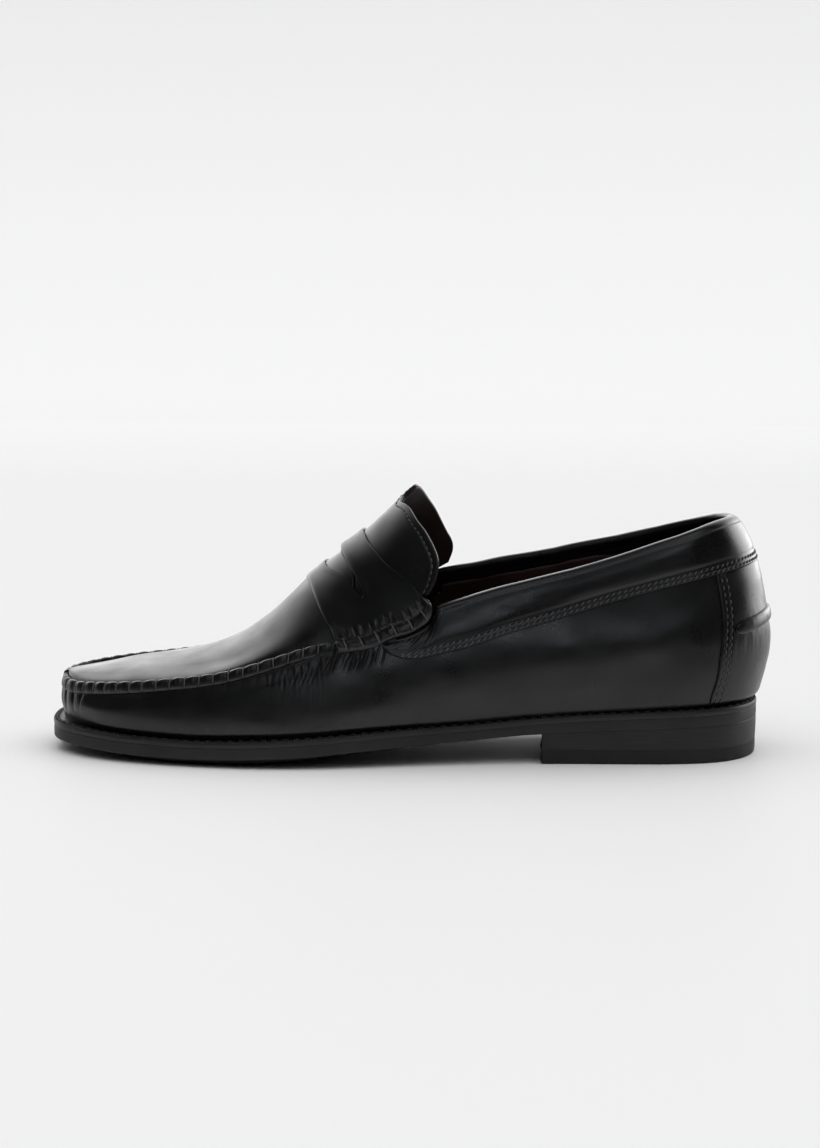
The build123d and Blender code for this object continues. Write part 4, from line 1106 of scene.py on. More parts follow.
# ---------------------------------------------------------------------------
# Collar with its stitching and padding; tables are x, z
# ---------------------------------------------------------------------------
COLLAR_LOW = ((-12.6, 53.5), (-11.6, 51.9), (-10.8, 50.3), (-9.4, 48.4), (-7.6, 47.0),
              (-5.6, 46.0), (-1.4, 44.8), (3.0, 44.6), (7.1, 45.0), (15.5, 46.8), (23.2, 48.5),
              (29.0, 50.2), (37.5, 53.0), (46.5, 55.6), (61.2, 59.8), (81.3, 66.0),
              (101.4, 71.4), (125.5, 77.0), (141.0, 80.0), (155, 81.6))
RIM_SPLIT = 11.2        # in front of this x the rim follows the strap's lower edge
RIM_FRONT = ((-27.8, 46.9), (-21.8, 47.2), (-15.0, 48.3), (-10.0, 50.0), (-4.8, 52.1),
             (0.2, 53.6), (5.2, 56.1), (8.8, 59.2), (10.2, 62.2), (10.9, 63.4), (11.2, 64.4))
RIM_OUTER = ((11.2, 64.4), (17.0, 66.4), (24.6, 68.6), (36.4, 72.6), (46.5, 75.6), (61.0, 80.0),
             (81.1, 86.0), (101.3, 92.6), (121.3, 98.0), (130.0, 99.3), (136.0, 99.4), (155, 99.0))
RIM_INNER = ((11.2, 64.4), (17.0, 66.4), (24.6, 68.6), (36.4, 72.8), (46.5, 76.0), (61.0, 80.6),
             (81.1, 86.2), (101.3, 91.4), (121.3, 95.6), (130.0, 97.6), (136.0, 98.9), (155, 99.0))
# Corrections added to the rim: x, change in z
RIM_OUTER_FIT = ((11.2, 0), (27, 0), (49, -1.2), (66, -2.1), (92, -2.1), (109, -2.1),
                 (122, -1.7), (135, -1.1), (140, -1.3), (155, -1.4))
RIM_INNER_FIT = ((11.2, 6.3), (14.6, 5.9), (32, 3.9), (49, 1.5), (57.7, 0.4), (66, 0),
                 (83.5, -1.3), (100.7, -1.7), (118, -1.3), (128, -0.9), (135, -1.1),
                 (140, -1.3), (155, -1.4))


def rim(x, side):
    """Top edge of the collar; side is -1 outer or 1 inner, or an array of them."""
    is_outer = np.asarray(side) < 0
    top = np.where(is_outer, curve(RIM_OUTER, x) + np.interp(x, *np.transpose(RIM_OUTER_FIT)),
                   curve(RIM_INNER, x) + np.interp(x, *np.transpose(RIM_INNER_FIT)))
    front = curve(RIM_FRONT, x)
    inner_front = front + smooth(x, 5.5, 8.5) * (top - 0.3 * (RIM_SPLIT - x) - front)
    return np.where(x < RIM_SPLIT, np.where(is_outer, front, inner_front), top)


COLLAR_T = np.linspace(float(t_at(-10.4, -1)), float(t_at(-10.4, 1)), 1300)
COLLAR_X = wall_x(COLLAR_T, 62.0)
COLLAR_TOP = rim(wall_x(COLLAR_T, rim(COLLAR_X, np.where(COLLAR_T < HEEL_T, -1, 1))),
                 np.where(COLLAR_T < HEEL_T, -1, 1))
COLLAR_BOTTOM = np.minimum(curve(COLLAR_LOW, wall_x(COLLAR_T, curve(COLLAR_LOW, COLLAR_X))),
                           COLLAR_TOP - 0.9)
COLLAR_HEIGHT = COLLAR_TOP - COLLAR_BOTTOM
COLLAR_SQUEEZE = np.minimum(1, COLLAR_HEIGHT / 16)      # shrinks details where it is low
COLLAR_RADIUS = np.minimum(2.3, COLLAR_HEIGHT * 0.2)    # of the rolled rim
COLLAR_SHOULDER = COLLAR_TOP - COLLAR_RADIUS            # where the roll starts


def make_collar():
    x, arc, low, shoulder = COLLAR_X, COLLAR_T * ARC, COLLAR_BOTTOM, COLLAR_SHOULDER
    squeeze = COLLAR_SQUEEZE
    face = 5.15                                 # reach of the outer face
    fan = bell(x - 1.0, 9.5)                    # gathers fan out of the strap's end
    rear_flat = smooth(x, 118.0, 134.0)
    front_tuck = fade(x, 8.0, 13.0) * 1.3
    # columns of (z, reach): bottom edge
    columns = [(low + 0.25, 3.9), (low + 0.02, 4.3), (low, 4.8), (low + 0.12, 5.1)]
    # stitched band with a groove under each row
    for s in np.linspace(0.3, 4.0, 12):
        dip = 0.28 * bell(s - 1.0, 0.35) + 0.28 * bell(s - 2.9, 0.35)
        columns.append((low + s * squeeze, 5.25 - dip + 0.10 * math.sin(s * 0.9)))
    # padded face
    band_top = low + 4.0 * squeeze
    for s in np.linspace(0.0, 1.0, 30)[1:]:
        crease = 0.12 * bell(s - 0.05, 0.05)
        pad = 1.05 * np.sin(np.pi * min(1.0, (s + 0.02) / 1.02)) ** 0.7 * (1 - 0.35 * rear_flat)
        swell = 0.16 * ripple(171, arc / 17.0 + 11, s * 2.2 + 3.0) * math.sin(np.pi * s)
        lean = (s - 0.5) * 9.0 * np.sign(HEEL_T - COLLAR_T)
        gather = fan * 0.34 * ripple(181, (arc - lean) / 1.3 + 70, s * 2.0) * (0.35 + 0.65 * s)
        columns.append((band_top + (shoulder - band_top) * s,
                        face - crease + pad * (0.45 + 0.55 * smooth(x, 4.0, 20.0))
                        + swell + gather - front_tuck * s ** 2))
    # rolled rim
    outer = face - front_tuck
    middle = (outer - 0.35) / 2
    for angle in np.linspace(0, np.pi, 15):
        columns.append((shoulder + COLLAR_RADIUS * math.sin(angle),
                        middle + (outer - middle) * math.cos(angle)))
    # turned down inside, with one crease, then back up the hidden side to the bottom
    for s in np.linspace(0.12, 1.0, 10):
        columns.append((shoulder - 4.4 * s * squeeze,
                        -0.35 + 0.22 * bell(s - 0.62, 0.08) + 0.25 * s * s))
    columns += [(shoulder - 6.4 * squeeze, 0.3), (shoulder - 6.2 * squeeze, 0.9)]
    for s in np.linspace(0.0, 1.0, 6):
        columns.append(((shoulder - 5.5 * squeeze) * (1 - s) + (low + 0.5) * s, 1.2 + 2.6 * s))
    z = np.stack([column[0] for column in columns], 1)
    reach = np.stack([column[1] + 0 * x for column in columns], 1)
    return loft("collar_visual", wall(COLLAR_T[:, None], z, reach), M_COLLAR)


def make_collar_stitches():
    """Two rows of short slanted threads."""
    paths = []
    for row_height in (1.15, 2.95):
        arc = COLLAR_T[0] * ARC + 3.0
        while arc < COLLAR_T[-1] * ARC - 3.0:
            middle = arc / ARC
            if np.interp(middle, COLLAR_T, COLLAR_HEIGHT) > 7.0:
                t = middle + STITCH * 0.72 / ARC
                squeeze = np.minimum(1, np.interp(t, COLLAR_T, COLLAR_HEIGHT) / 16)
                side = -1.0 if middle < HEEL_T else 1.0
                z = (np.interp(t, COLLAR_T, COLLAR_BOTTOM) + row_height * np.mean(squeeze)
                     - STITCH * side * 0.62)
                paths.append(wall_and_normal(t, z, 5.06 + 0.30 * np.cos(STITCH * 1.45)))
            arc += 2.55
    return threads("collar_stitching_visual", paths, 0.30, M_STITCH)


def make_padding():
    """Foam between the back of the collar's outer skin and the lining."""
    inside = np.flatnonzero(COLLAR_X > 20.0)
    part = slice(inside[0], inside[-1] + 1, 3)
    t, low, high = (v[part, None] for v in (COLLAR_T, COLLAR_BOTTOM, COLLAR_SHOULDER))
    # fraction of the height, reach
    section = np.array([(0.06, 1.15), (0.06, 3.2), (0.30, 2.75), (0.62, 1.95), (0.86, 1.35),
                        (0.86, 1.15)])
    z = (low + 1.0) + (high - 6.2 - low - 1.0) * section[:, 0]
    return loft("collar_padding_visual", wall(t, z, section[:, 1]), M_FOAM)


# ---------------------------------------------------------------------------
# Linings seen inside the opening
# ---------------------------------------------------------------------------


def make_quarter_lining():
    t = np.linspace(float(t_at(-23.0, -1)), float(t_at(-23.0, 1)), 500)
    x = wall_x(t, 50.0)
    top = np.where(x < RIM_SPLIT, np.minimum(rim(x, -1) - 1.0, 60.0),
                   np.maximum(rim(x, np.where(t < HEEL_T, -1, 1)) - 7.4, 58.6))[:, None]
    bottom = welt_top(x)[:, None] + 2.5
    t = t[:, None]
    z = bottom + (top - bottom) * np.linspace(0, 1, 40)
    # broad swells, and creases near the insole
    reach = 0.22 * ripple(201, t * ARC / 15.0 + 33, z / 13.0)
    reach += 0.10 * ripple(205, t * ARC / 3.0 + 33, z / 9.0) * fade(z - bottom, 0, 10)
    return wall_shell("quarter_lining_visual", t, z, reach, 1.0, M_LINING)


def make_sock():
    count, z_outline, reach = 260, 6.0, -0.9
    outer = wall(np.linspace(0, 1, count) * HEEL_T, z_outline, reach)
    # move the inner points until their x matches the outer ones
    t = t_at(outer[:, 0], 1)
    for _ in range(4):
        inner = wall(t, z_outline, reach)
        t = np.clip(t + (inner[:, 0] - outer[:, 0]) * 0.5 / ARC, HEEL_T, 1.0)
    t[0], t[-1] = 1.0, HEEL_T
    inner = wall(t, z_outline, reach)
    r = np.linspace(0, 1, 41)[None, :, None]
    plan = outer[:, None, :2] * (1 - r) + inner[:, None, :2] * r
    base = welt_top(plan[..., 0]) + 3.35
    dish = 0.5 * (2 * np.abs(r[..., 0] - 0.5)) ** 4
    swell = 0.12 * ripple(221, plan[..., 0] / 16 + 40, plan[..., 1] / 14 + 9)
    top = np.concatenate([plan, (base + dish + swell)[..., None]], -1)
    bottom = np.concatenate([plan, (base - 0.95)[..., None]], -1)
    return weld(loft("sock_liner_visual", np.concatenate([top, bottom[:, ::-1]], 1), M_SOCK))


# ---------------------------------------------------------------------------
# Backstay over the back seam, and the heel tab across it
# ---------------------------------------------------------------------------
BACKSTAY_BOTTOM, BACKSTAY_TOP = 22.55, 79.0
# z, x of the side edges
BACKSTAY_EDGE = ((20, 121.6), (27.5, 123.3), (36.5, 125.9), (46, 127.3), (59, 128.0),
                 (67, 127.4), (74.5, 126.2), (82, 124.5))
BACKSTAY_ROWS = (2.0, 4.2)      # stitch rows, from the side edges


def t_on_wall(x, z, side):
    """Ring position at which the wall at height z reaches x on one side."""
    x, z = np.broadcast_arrays(np.asarray(x, float), np.asarray(z, float))
    grid = np.linspace(0.38, HEEL_T, 900) if side < 0 else np.linspace(HEEL_T, 0.62, 900)
    out = np.zeros(x.shape)
    for i in np.ndindex(x.shape):
        out[i] = grid[np.argmin(np.abs(wall_x(grid, z[i]) - x[i]))]
    return out


def backstay_tuck(rise):
    """How far the foot of the backstay tucks in."""
    return 2.3 * fade(rise, 0.0, 4.4) ** 1.6


def make_backstay():
    """The backstay and its stitches."""
    v = np.linspace(0, 1, 90)
    height = BACKSTAY_BOTTOM + (BACKSTAY_TOP - BACKSTAY_BOTTOM) * v
    edge_x = curve(BACKSTAY_EDGE, height)
    edges = {side: t_on_wall(edge_x, height, side) for side in (-1, 1)}
    u = np.linspace(0, 1, 240)[:, None]
    t = edges[-1] * (1 - u) + edges[1] * u
    edge_gap = np.minimum(t - edges[-1], edges[1] - t) * ARC
    x = wall_x(t, height).reshape(t.shape)
    top = curve(COLLAR_LOW, x)
    low = welt_top(x) - 0.25
    z = low + (top + 1.0 - low) * v
    tuck = backstay_tuck(z - low)
    arc = t * ARC
    # thinned side edges, a groove under each stitch row, tucked foot, thinned top
    reach = 5.15 - 1.25 * fade(edge_gap, -0.3, 0.7) ** 1.5
    for row in BACKSTAY_ROWS:
        reach = reach - 0.24 * bell(edge_gap - row, 0.4)
    reach = reach - tuck - 0.9 * smooth(z - top, -0.9, 0.4)
    # a ridge in the middle, wrinkles round z = 51, soft swells
    ridge = 0.30 * np.sin(np.clip((56.0 - z) / 6.0, 0, np.pi)) * (z < 56)
    reach = reach + bell((t - HEEL_T) * ARC, 15.0) * ridge
    reach = reach + 0.13 * ripple(241, arc / 2.4, z / 12.0) * bell(z - 51, 7.0)
    reach = reach + 0.12 * ripple(245, arc / 12.0, z / 12.0)
    backstay = wall_shell("backstay_visual", t, z, reach, 3.85 - tuck, M_COLLAR)

    paths = []
    for side in (-1, 1):
        for row in BACKSTAY_ROWS:
            middle = 25.4
            while middle < 75.5:
                z = middle + STITCH * 0.95
                t = np.interp(z, height, edges[side]) - side * row / ARC
                reach = 5.0 + 0.22 * np.cos(STITCH * 1.45) - backstay_tuck(z - 22.2)
                paths.append(wall_and_normal(t, z, reach))
                middle += 2.9
    return backstay, threads("backstay_stitching_visual", paths, 0.27, M_STITCH)


def make_heel_tab():
    """Rolled strip, bowed upward in the middle."""
    end_x, end_z = 132.9, 54.5
    u = np.linspace(-1, 1, 150)[:, None]
    start, end = (float(t_on_wall(end_x, end_z, side)) for side in (-1, 1))
    t = (start + end) / 2 + (end - start) / 2 * u
    taper = np.sqrt(np.clip(1 - np.abs(u) ** 14, 0.02, 1))
    angle = np.linspace(0, 2 * np.pi, 28, endpoint=False)
    z = 58.6 - 4.1 * np.abs(u) ** 1.5 + 2.7 * taper * signed_power(np.sin(angle), 0.75)
    reach = 5.60 + 0.95 * signed_power(np.cos(angle), 0.8) * taper
    reach = reach + 0.05 * ripple(261, t * ARC / 2.2, z / 3.0)
    return loft("heel_tab_visual", wall(t, z, reach), M_COLLAR)


# ---------------------------------------------------------------------------
# Strap with its penny slot
# ---------------------------------------------------------------------------
STRAP_COUNT, STRAP_COLUMNS = 560, 110
STRAP_PITCH, STRAP_FIRST = 7.0, 3.6     # stitches along each end
# w, x of the front and back edges, and their w at the strap's ends
STRAP_FRONT = ((0.0, -44.1), (0.784, -42.5), (1.453, -40.2), (2.089, -37.4), (2.672, -34.0),
               (3.221, -30.3), (3.69, -27.8))
STRAP_BACK = ((0.0, -20.5), (0.335, -20.2), (1.219, -17.5), (2.049, -11.8), (2.759, -5.2),
              (3.342, 0.2), (3.60, 3.6), (3.75, 6.6))
FRONT_W, BACK_W = 3.69, 3.76
# Ends of the strap: fraction from front to back, x, w
STRAP_END = ((0.0, -27.8, 3.69), (0.16, -21.8, 3.844), (0.33, -15.0, 4.018),
             (0.45, -10.0, 4.092), (0.58, -4.8, 4.118), (0.70, 0.2, 4.118), (0.82, 5.2, 4.085),
             (0.905, 8.8, 4.04), (0.96, 9.9, 3.95), (0.985, 9.2, 3.85), (1.0, 7.4, 3.76))
# Edges of the slot: w, x
SLOT_FRONT = ((0.0, -36.7), (0.757, -35.2), (1.058, -33.4), (1.607, -28.4), (1.969, -25.5),
              (2.317, -22.8), (2.56, -20.7), (2.74, -18.9))
SLOT_BACK = ((0.0, -29.6), (0.556, -29.1), (1.252, -26.5), (1.734, -24.0), (2.176, -21.2),
             (2.585, -18.6), (2.74, -18.3))
# Path of a strap stitch: distance from the end, height above the strap's face
STRAP_STITCH = ((6.2, -0.25), (5.6, 0.0), (4.9, 0.05), (4.0, 0.0), (3.0, 0.0), (2.0, 0.0),
                (1.1, -0.05), (0.5, -0.35))


def strap_xw(s, v):
    """x and w on the strap; s is -1..1 from end to end, v is 0..1 from front to back."""
    a = np.abs(s)
    front_w, back_w = FRONT_W * a, BACK_W * a
    x = curve(STRAP_FRONT, front_w) * (1 - v) + curve(STRAP_BACK, back_w) * v
    w = front_w * (1 - v) + back_w * v
    # straight line across the end, and how far the end's outline departs from it
    line_x = STRAP_FRONT[-1][1] * (1 - v) + STRAP_BACK[-1][1] * v
    line_w = FRONT_W * (1 - v) + BACK_W * v
    weight = smooth(a, 0.45, 1.0) ** 1.3
    return (x + (curve(STRAP_END, v) - line_x) * weight,
            (w + (curve(STRAP_END, v, column=2) - line_w) * weight) * np.sign(s))


def outward_to_wall(points, weight, reach):
    """Carries points near the strap's ends sideways to the wall's surface."""
    side = np.where(points[..., 1] < AXIS_Y, -1.0, 1.0)
    x, z = points[..., 0].ravel(), points[..., 2].ravel()
    reach = np.broadcast_to(reach, side.shape).ravel()
    wall_y = np.zeros(x.shape)
    for sign in (-1, 1):
        chosen = (side.ravel() == sign) & (weight.ravel() > 0.001)
        t = t_at(x[chosen], sign)
        for _ in range(3):
            found = wall(t, z[chosen], reach[chosen])
            t = t - sign * (x[chosen] - found[:, 0]) / ARC
        wall_y[chosen] = found[:, 1]
    gap = np.abs(wall_y.reshape(side.shape) - AXIS_Y) - np.abs(points[..., 1] - AXIS_Y)
    out = points.copy()
    out[..., 1] += side * np.where(weight > 0.001, gap * weight, 0.0)
    return out


def cut_slot(strap):
    w = np.concatenate([np.linspace(-2.72, -2.3, 8), np.linspace(-2.25, 2.25, 90),
                        np.linspace(2.3, 2.72, 8)])[:, None]
    r = np.linspace(0, 1, 9)[None]
    x = curve(SLOT_FRONT, np.abs(w)) * (1 - r) + curve(SLOT_BACK, np.abs(w)) * r
    cutter = crown_shell("slot_cutter", x, w, 9.0, 0.5, M_STRAP)
    modifier = strap.modifiers.new("slot", "BOOLEAN")
    modifier.operation = "DIFFERENCE"
    modifier.object = cutter
    modifier.solver = "EXACT"
    bpy.context.view_layer.update()
    depsgraph = bpy.context.evaluated_depsgraph_get()
    cut = bpy.data.meshes.new_from_object(strap.evaluated_get(depsgraph))
    strap.modifiers.clear()
    if len(cut.polygons) > 1000:        # guards against a failed cut that empties the mesh
        strap.data = cut
    bpy.data.objects.remove(cutter)


def make_strap():
    """The strap and its stitches."""
    s, v = np.meshgrid(np.linspace(-1, 1, STRAP_COUNT), np.linspace(0, 1, STRAP_COLUMNS),
                       indexing="ij")
    x, w = strap_xw(s, v)
    base = crown(x, w, 3.9)
    across = running_length(base, 1)
    along = running_length(base, 0)
    end_gap = np.minimum(along, along[-1:] - along)
    edge_gap = np.minimum(np.minimum(across, across[:, -1:] - across), end_gap)
    face = 5.25
    # thinned edge with a low bead inside it
    reach = face - 0.55 * fade(edge_gap, 0.0, 0.8) ** 1.6
    reach += 0.10 * bell(edge_gap - 1.6, 1.0)
    # stitched ends: a rolled edge, a groove inside it, and square gathers further in
    phase = (across - STRAP_FIRST) / STRAP_PITCH
    from_stitch = np.abs(phase - np.round(phase)) * STRAP_PITCH
    reach += 1.05 * bell(end_gap - 2.3, 1.75)
    reach -= 0.60 * bell(end_gap - 5.2, 0.6)
    reach -= 0.50 * bell(from_stitch, 0.65) * bell(end_gap - 2.6, 2.2)
    reach -= (0.42 * bell(from_stitch - 1.7, 0.42) * smooth(end_gap, 4.6, 5.6)
              * fade(end_gap, 7.5, 11.5))
    reach += (0.42 * bell(from_stitch, 1.25) * smooth(end_gap, 5.0, 6.0)
              * fade(end_gap, 7.5, 12.0))
    reach += 0.16 * ripple(281, along / 1.6 + 20, across / 1.3 + 7) * fade(end_gap, 4.0, 11.0)
    reach += 0.14 * ripple(291, along / 22.0 + 5, across / 15.0 + 3) * smooth(edge_gap, 0.5, 6.0)
    # raised lips along the slot, a swell behind it and a dip in front
    distance = np.abs(w)
    slot_front, slot_back = curve(SLOT_FRONT, distance), curve(SLOT_BACK, distance)
    in_slot = fade(distance, 2.55, 2.95)
    reach += 0.30 * bell(x - slot_back - 0.9, 1.3) * in_slot
    reach += 0.16 * bell(x - slot_front + 0.9, 1.2) * in_slot
    reach += (1.15 * bell(np.clip(x - slot_back, 0, None), 6.5) * (x > slot_front + 2.0)
              * bell(distance, 1.15))
    reach -= 0.35 * bell(x - slot_front + 2.0, 4.0) * bell(distance, 1.3)
    weight = fade(end_gap, 2.0, 13.0) * (1 - 0.75 * smooth(v, 0.80, 0.97))
    top = outward_to_wall(crown(x, w, reach), weight, 4.35 + (reach - face))
    under = outward_to_wall(crown(x, w, 3.95), weight, 3.2)[:, ::-1]
    strap = loft("strap_body", np.concatenate([top, under], 1), M_STRAP)
    cut_slot(strap)
    strap.name = "strap_visual"
    strap.data.name = "strap_visual"
    return strap, make_strap_stitches(top, across, end_gap)


def make_strap_stitches(top, across, end_gap):
    paths = []
    half = STRAP_COUNT // 2
    for end, offset in ((0, 0), (-1, half)):
        for number in range(12):
            place = STRAP_FIRST + number * STRAP_PITCH
            if place > across[end, -1] - 3.0:
                break
            j = int(np.argmin(np.abs(across[end] - place)))
            points, ups = [], []
            for gap, lift in STRAP_STITCH:
                i = offset + int(np.argmin(np.abs(end_gap[offset:offset + half, j] - gap)))
                point = top[i, j]
                normal = np.cross(
                    top[min(i + 1, STRAP_COUNT - 1), j] - top[max(i - 1, 0), j],
                    top[i, min(j + 1, STRAP_COLUMNS - 1)] - top[i, j - 1])
                normal = normal / np.linalg.norm(normal)
                if (point - np.array([point[0], AXIS_Y, 40.0])) @ normal < 0:
                    normal = -normal
                points.append(point + normal * (0.06 + lift))
                ups.append(normal)
            paths.append((np.array(points), np.array(ups)))
    return threads("strap_stitching_visual", paths, 0.42, M_STITCH)


# ---------------------------------------------------------------------------
# Tongue: from under the strap to its free edge
# ---------------------------------------------------------------------------
# Free edge on each side: fraction from the ridge outward, x, w
TONGUE_OUTER = ((0.0, -3.2, 0.0), (0.10, -4.4, 0.46), (0.26, -1.2, 1.065), (0.44, 2.8, 1.801),
                (0.58, 7.2, 2.324), (0.72, 10.8, 2.806), (0.82, 12.2, 3.147),
                (0.92, 11.0, 3.52), (1.0, 8.0, 3.70))
TONGUE_INNER = ((0.0, -3.2, 0.0), (0.05, 0.4, 0.18), (0.12, 1.9, 0.50), (0.38, 5.0, 1.581),
                (0.56, 9.0, 2.332), (0.72, 12.8, 2.983), (0.82, 14.6, 3.276),
                (0.92, 15.0, 3.52), (1.0, 13.0, 3.70))
TONGUE_STITCH_INSET = 3.0


def make_tongue():
    """The tongue, its lining and its stitches."""
    count, columns = 420, 90
    s, v = np.linspace(-1, 1, count), np.linspace(0, 1, columns)[None]
    a = np.abs(s)
    kernel = np.hanning(19)
    kernel /= kernel.sum()

    def free_edge(column):
        raw = np.where(s < 0, curve(TONGUE_OUTER, a, column), curve(TONGUE_INNER, a, column))
        return np.convolve(np.pad(raw, 9, "edge"), kernel, "valid")

    edge_x, edge_w = free_edge(1)[:, None], (free_edge(2) * np.sign(s))[:, None]
    base_w = 3.62 * a
    base_x = (curve(STRAP_BACK, base_w) - 4.5 - 10.5 * fade(base_w, 2.70, 3.10))[:, None]
    base_w = (base_w * np.sign(s))[:, None]

    def tongue_xw(v):
        return base_x * (1 - v) + edge_x * v, base_w * (1 - v) + edge_w * v

    x, w = tongue_xw(v)
    middle = crown(x, w, 3.0)
    across = running_length(middle, 1)
    along = running_length(middle, 0)
    edge_gap = across[:, -1:] - across
    rim_gap = np.minimum(edge_gap, np.minimum(along, along[-1:] - along) + 0.3)
    under = 1.45 * fade(x, -26.0, -20.5)        # sinks beneath the strap
    # the free edge lifts a little near the ridge
    lift = 0.9 * smooth(v, 0.70, 1.0) * bell(s[:, None] - 0.06, 0.10)
    reach = 3.7 - under - 0.75 * fade(rim_gap, 0, 0.7) ** 1.6
    reach = reach - 0.32 * bell(edge_gap - TONGUE_STITCH_INSET, 0.4)
    reach = reach + 0.10 * ripple(311, along / 16.0 + 3, across / 12.0 + 8) + lift
    tongue = crown_shell("tongue_visual", x, w, reach, 2.45 - under + lift, M_TONGUE)

    swell = 0.08 * ripple(321, along / 12.0 + 3, across / 12.0 + 8)
    lining = crown_shell("tongue_lining_visual", *tongue_xw(v + 0.010 * smooth(v, 0.9, 1.0)),
                         2.38 - under + lift, 1.15 - under + lift + swell, M_LINING)

    # the stitch line, as x, w, reach
    index = np.arange(columns)
    line = []
    for i in range(count):
        j = np.interp(TONGUE_STITCH_INSET, edge_gap[i, ::-1], index[::-1])
        line.append([np.interp(j, index, grid[i]) for grid in (x, w, reach)])
    line = np.array(line).T
    length = running_length(crown(*line), 0)
    paths = []
    place = 2.5
    while place < length[-1] - 2.5:
        at_x, at_w, at_reach = (np.interp(place + STITCH * 0.95, length, row) for row in line)
        height = at_reach + 0.02 + 0.24 * np.cos(STITCH * 1.45)
        paths.append(crown_and_normal(at_x, at_w, height))
        place += 2.7
    return tongue, lining, threads("tongue_stitching_visual", paths, 0.26, M_STITCH)


# ---------------------------------------------------------------------------
# Build, hide each CAD piece that a new piece replaces, and hang the shoe's pieces on one body
# ---------------------------------------------------------------------------


def stand_in(ob):
    """Each piece replaces the CAD piece it is named after."""
    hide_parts(ob.name.removesuffix("_visual"))


shoe = [
    (make_outsole(), "sole_edge"),
    (make_welt(), "welt"),
    (make_heel_stack(), "sole_edge"),
    (make_heel_tip(), "heel_rubber"),
    (make_welt_stitches(), "thread"),
    (make_vamp(), "upper_leather"),
    (make_toe_puff(), "stiffener"),
    (absorb(make_apron_skin(), make_apron_roll()), "upper_leather"),
    (make_moccasin_stitches(), "thread"),
    (make_collar(), "upper_leather"),
    (make_collar_stitches(), "thread"),
    (make_quarter_lining(), "lining_leather"),
    (make_sock(), "lining_leather"),
    *zip(make_backstay(), ("upper_leather", "thread")),
    (make_heel_tab(), "upper_leather"),
    (make_padding(), "foam"),
    *zip(make_strap(), ("upper_leather", "thread")),
]
tongue_parts = list(zip(make_tongue(), ("upper_leather", "lining_leather", "thread")))
for ob, slot in shoe:
    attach(ob, "shoe")
    stand_in(ob)
for ob, slot in tongue_parts:
    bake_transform(ob)
    stand_in(ob)

# CAD pieces that are kept and only given a material
for node, material in (("cork_filler", M_CORK), ("shank", M_STEEL), ("heel_nails", M_STEEL),
                       ("insole_board", M_BOARD), ("heel_counter", M_STIFF),
                       ("vamp_lining", M_LINING), ("apron_lining", M_LINING)):
    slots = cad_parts[node].data.materials
    slots.clear()
    slots.append(material)

# ---------------------------------------------------------------------------
# Stage, light and camera, in metres
# ---------------------------------------------------------------------------
STAGE_HALF_WIDTH = 5.0
SWEEP_START, SWEEP_RADIUS = 1.2, 1.2


def stage_paper():
    """White paper that glows for the camera and looks dark in reflections near the camera."""
    m = Material("stage_paper")
    rays = m.node("ShaderNodeLightPath").outputs
    y = m.node("ShaderNodeSeparateXYZ", {0: m.point}).outputs[1]
    near = m.ramp(y, start=-0.42, end=-0.10)
    hidden = m.times(rays["Is Glossy Ray"], m.math("SUBTRACT", 1.0, near))
    shade = m.math("SUBTRACT", 1.0, hidden)
    glow = m.ramp(y, low=0.0, high=0.20, start=0.86, end=2.2)
    return m.finish(color=m.mix(shade, (0.06, 0.06, 0.065), (0.80, 0.80, 0.805)),
                    rough=0.62, specular=0.25, glow_color=(1.0, 1.0, 1.0),
                    glow=m.times(rays["Is Camera Ray"], glow))


def make_stage(name, line, material):
    """Sheet across X that follows a line of (y, z)."""
    mesh = bpy.data.meshes.new(name)
    bm = bmesh.new()
    previous = None
    for y, z in line:
        row = [bm.verts.new((x, y, z)) for x in (-STAGE_HALF_WIDTH, STAGE_HALF_WIDTH)]
        if previous:
            bm.faces.new((previous[0], previous[1], row[1], row[0])).smooth = True
        previous = row
    bm.to_mesh(mesh)
    bm.free()
    mesh.materials.append(material)
    stage = bpy.data.objects.new(name, mesh)
    bpy.context.scene.collection.objects.link(stage)
    stage.visible_glossy = stage.visible_diffuse = name == "stage_floor"


paper = stage_paper()
make_stage("stage_floor", [(-3.0, 0.0), (-1.0, 0.0), (0.0, 0.0), (SWEEP_START, 0.0)], paper)
make_stage("stage_sweep", [(SWEEP_START + SWEEP_RADIUS * math.sin(angle),
                            SWEEP_RADIUS - SWEEP_RADIUS * math.cos(angle))
                           for angle in np.linspace(0, np.pi / 2, 14)] + [(2.4, 4.0)], paper)


def toward(azimuth, elevation):
    """Unit direction; azimuth 0 is -Y and 90 is +X, in degrees."""
    azimuth, elevation = math.radians(azimuth), math.radians(elevation)
    return Vector((math.sin(azimuth) * math.cos(elevation),
                   -math.cos(azimuth) * math.cos(elevation), math.sin(elevation)))


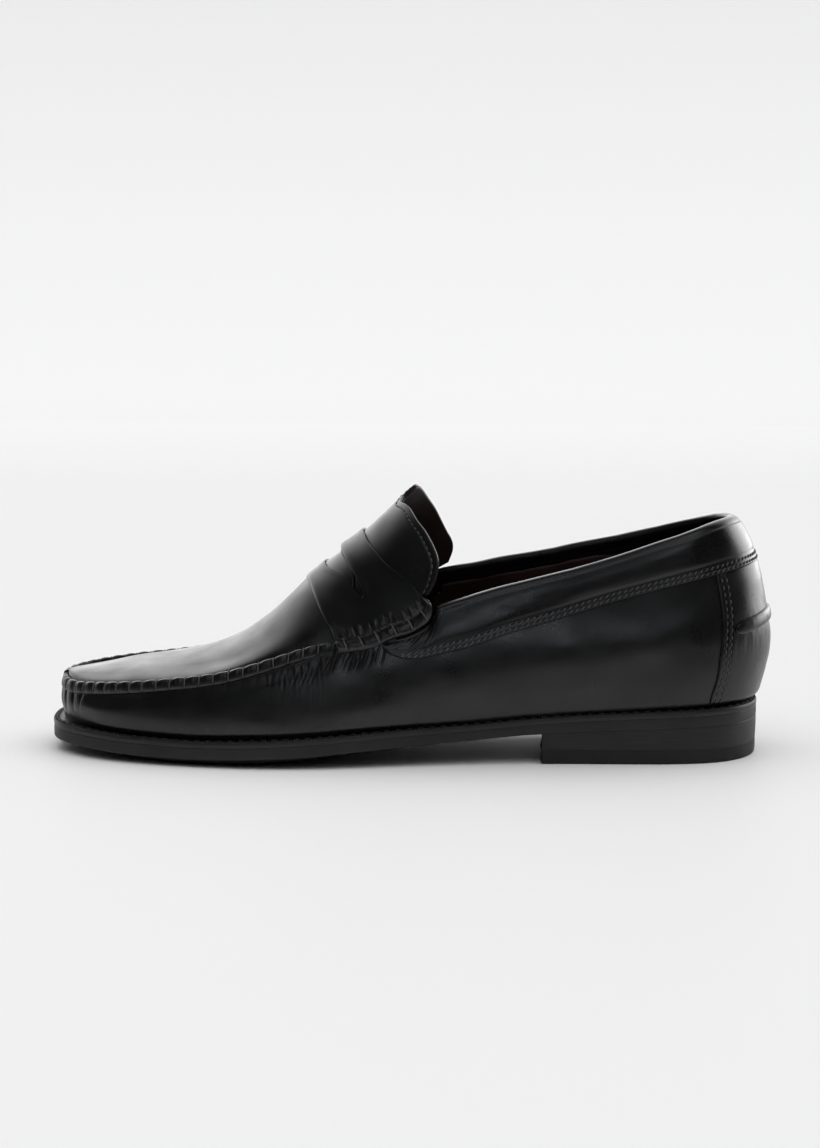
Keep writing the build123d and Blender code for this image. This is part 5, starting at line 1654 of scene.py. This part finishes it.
def make_world():
    world = bpy.data.worlds.new("studio")
    bpy.context.scene.world = world
    world.use_nodes = True
    g = Graph(world.node_tree, "Generated")
    dx, dy, dz = g.node("ShaderNodeSeparateXYZ", {0: g.point}).outputs

    def step(value, start, end, low, high):
        return g.ramp(value, low=low, high=high, start=start, end=end, kind="SMOOTHSTEP")

    def patch(azimuth, elevation, start, end, strength):
        """Soft round light; start and end are cosines of the angle from its middle."""
        d = toward(azimuth, elevation).normalized()
        dot = g.add(g.add(g.times(dx, d.x), g.times(dy, d.y)), g.times(dz, d.z))
        return step(dot, start=start, end=end, low=0.0, high=strength)

    def pick(flag, a, b):
        return g.add(g.times(flag, a), g.times(g.math("SUBTRACT", 1.0, flag), b))

    # what the leather mirrors: a dark room on the camera's side, a pale wall behind, a strong
    # soft light at the back right, a weak one at the back left, two above the front
    mirror = step(dy, start=0.15, end=0.85, low=0.045, high=1.45)
    for light in (
            patch(azimuth=132, elevation=7, start=0.835, end=0.972, strength=3.6),
            patch(azimuth=-155, elevation=18, start=0.70, end=0.96, strength=0.9),
            patch(azimuth=12, elevation=67, start=0.905, end=0.99, strength=2.0),
            patch(azimuth=7, elevation=27, start=0.9877, end=0.9985, strength=2.6)):
        mirror = g.add(mirror, light)
    mirror = g.times(mirror, step(dz, start=0.60, end=0.98, low=1.0, high=0.42))
    # what falls on the paper: mostly from above, some from the right
    spread = g.add(step(dz, start=0.30, end=1.0, low=0.0, high=1.68),
                   patch(azimuth=115, elevation=48, start=0.66, end=0.98, strength=0.72))
    rays = g.node("ShaderNodeLightPath").outputs
    strength = pick(rays["Is Camera Ray"], 0.86, pick(rays["Is Diffuse Ray"], spread, mirror))
    # reflections from the camera's side are slightly blue
    blue = pick(rays["Is Glossy Ray"], step(dy, start=0.2, end=-0.7, low=0.0, high=1.0), 0.0)
    color = g.mix(blue, (1.0, 1.0, 1.0), (0.90, 0.94, 1.0))
    background = g.node("ShaderNodeBackground", {"Color": color, "Strength": strength})
    g.node("ShaderNodeOutputWorld", {"Surface": background.outputs[0]})


def make_camera():
    data = bpy.data.cameras.new("camera")
    data.sensor_fit = "VERTICAL"
    data.sensor_height = 36.0
    data.lens = 129.1
    data.clip_start = 0.05
    camera = bpy.data.objects.new("camera", data)
    target = Vector((-0.0010, 0.0, 0.0728))
    distance = 1.70
    camera.location = target + distance * toward(azimuth=3.0, elevation=8.5)
    camera.rotation_euler = (target - camera.location).to_track_quat("-Z", "Y").to_euler()
    bpy.context.scene.collection.objects.link(camera)
    bpy.context.scene.camera = camera


make_world()
bpy.context.scene.view_settings.view_transform = "Standard"
make_camera()
